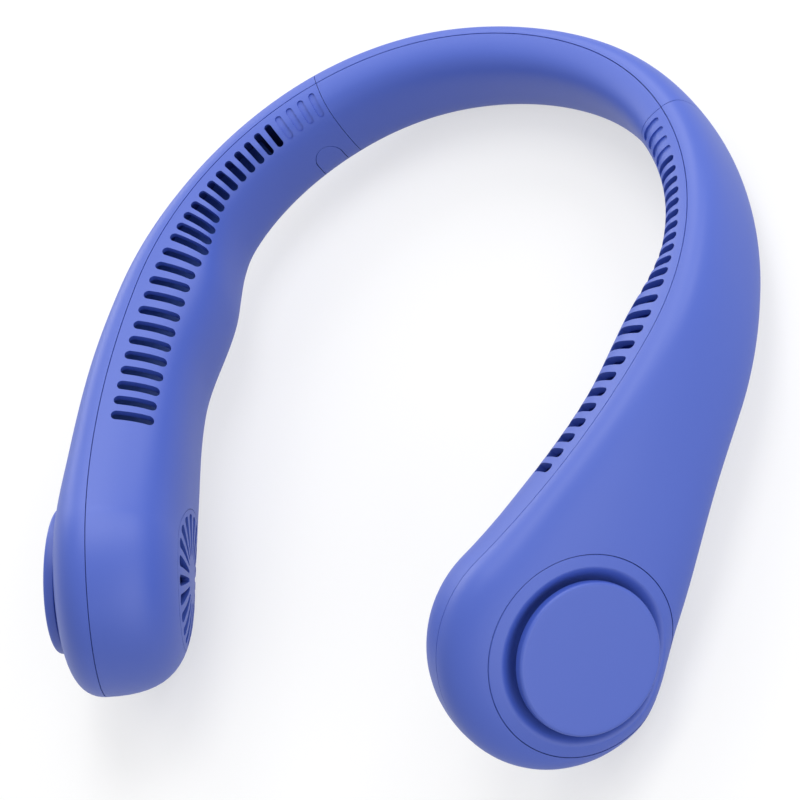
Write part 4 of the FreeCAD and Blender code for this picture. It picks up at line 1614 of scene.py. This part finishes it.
@dataclass(frozen=True)
class Lamp:
    """Soft square lamp aimed at the middle of the object, in metres and watts."""

    name: str
    place: Triple
    size: float
    power: float
    aim: Triple = (0.0, 0.0, 0.02)

    def hang(self) -> None:
        """Add the lamp to the scene."""
        data = bpy.data.lights.new(self.name, "AREA")
        data.shape = "SQUARE"
        data.size = self.size
        data.energy = self.power
        lamp = scene_object(self.name, data)
        lamp.location = self.place
        way = Vector(self.aim) - Vector(self.place)
        lamp.rotation_euler = way.to_track_quat("-Z", "Y").to_euler()


@dataclass(frozen=True)
class Studio:
    """Pale floor, soft lamps, white surroundings and the camera of the photograph."""

    lamps: tuple[Lamp, ...] = (
        Lamp("high_rim", (0.10, 0.46, 0.90), 0.42, 2.7),
        Lamp("middle_rim", (-0.34, 0.80, 0.53), 0.40, 2.5),
        Lamp("low_rim", (-0.88, 0.41, 0.30), 0.40, 2.4),
        Lamp("right_rim", (0.52, 0.68, 0.54), 0.40, 2.2),
        Lamp("side_fill", (1.25, -0.40, 0.30), 1.2, 7.4),
    )
    ambient: float = 0.64
    floor_size: float = 6.0
    floor_colour: float = 0.45
    floor_glow: float = 0.54
    focal_pixels: float = 5001.0
    azimuth: float = 56.42
    elevation: float = 44.36
    roll: float = -39.91
    distance: float = 1212.1
    look_at: Triple = (0.0, -6.00, -20.37)
    sensor: float = 36.0
    clip: Pair = (0.05, 20.0)

    @staticmethod
    def _seen(graph: Graph) -> Value:
        """One for rays that show the surroundings, nought for those that light the object.

        Args:
            graph: Tree to add to.

        Returns:
            The wrapped number.
        """
        rays = graph.add("ShaderNodeLightPath")
        kinds = ("Camera", "Glossy", "Transmission")
        camera, glossy, through = (Value(graph, rays.outputs[f"Is {kind} Ray"]) for kind in kinds)
        return (camera + glossy + through).at_most(1.0)

    def surround(self) -> None:
        """Plain white light from all round."""
        world = bpy.data.worlds.new("surroundings")
        bpy.context.scene.world = world
        graph = Graph.within(world)
        sky = graph.add("ShaderNodeBackground", {"Color": WHITE, "Strength": self.ambient})
        graph.add("ShaderNodeOutputWorld", {"Surface": sky})

    def floor(self, level: float) -> None:
        """Pale floor that keeps the object's shadow.

        Args:
            level: Height of the floor.
        """
        material = bpy.data.materials.new("floor_paper")
        graph = Graph.within(material)
        tone = (self.floor_colour,) * 3
        paper = graph.add("ShaderNodeBsdfDiffuse", {"Color": (*tone, 1.0)})
        strength = self._seen(graph) * self.floor_glow
        glow = graph.add("ShaderNodeEmission", {"Color": WHITE, "Strength": strength})
        both = graph.add("ShaderNodeAddShader", {0: paper, 1: glow})
        graph.add("ShaderNodeOutputMaterial", {"Surface": both})
        half = self.floor_size / 2
        mesh = bpy.data.meshes.new("floor")
        corners = [(x * half, y * half, level) for x, y in ((-1, -1), (1, -1), (1, 1), (-1, 1))]
        mesh.from_pydata(corners, [], [[0, 1, 2, 3]])
        mesh.materials.append(material)
        scene_object("floor", mesh)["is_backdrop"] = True

    def camera(self, housing: Housing) -> None:
        """Camera at the photograph's viewing angle.

        Args:
            housing: Housing whose rest matrix turns the view.
        """
        az, el, roll = (math.radians(v) for v in (self.azimuth, self.elevation, self.roll))
        back = Vector((math.sin(az) * math.cos(el), -math.cos(az) * math.cos(el), math.sin(el)))
        right = Vector((math.cos(az), math.sin(az), 0.0))
        up = back.cross(right)
        across = right * math.cos(roll) + up * math.sin(roll)
        upward = up * math.cos(roll) - right * math.sin(roll)
        eye = Vector(self.look_at) + back * self.distance
        turn = housing.rest.to_3x3().normalized()
        data = bpy.data.cameras.new("camera")
        data.sensor_width = self.sensor
        data.lens = self.focal_pixels * self.sensor / FRAME_PIXELS
        data.clip_start, data.clip_end = self.clip
        camera = scene_object("camera", data)
        axes = [np.array(turn @ v) for v in (across, upward, back)]
        camera.matrix_world = frame_matrix(np.array(housing.rest @ eye), *axes)
        bpy.context.scene.camera = camera

    def build(self, housing: Housing, level: float) -> None:
        """Set up lamps, surroundings, floor and camera.

        Args:
            housing: Housing that the camera looks at.
            level: Height of the floor.
        """
        bpy.context.scene.view_settings.view_transform = "Standard"
        for lamp in self.lamps:
            lamp.hang()
        self.surround()
        self.floor(level)
        self.camera(housing)


def main() -> None:
    """Load the frame, build each sub-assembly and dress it."""
    logging.basicConfig(level=logging.INFO, format="%(name)s: %(message)s")
    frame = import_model()
    finishes = {finish.name: finish.material() for finish in FINISHES}
    housing = Housing()
    shop = Workshop(housing, Surface(housing), Repeats(finishes["shell_plastic"]), finishes)
    NeckPiece(shop).build()
    Arms(shop).build()
    InnerWorks().dress(frame["nodes"], finishes)
    Studio().build(housing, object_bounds()[0].z)


if __name__ == "__main__":
    main()
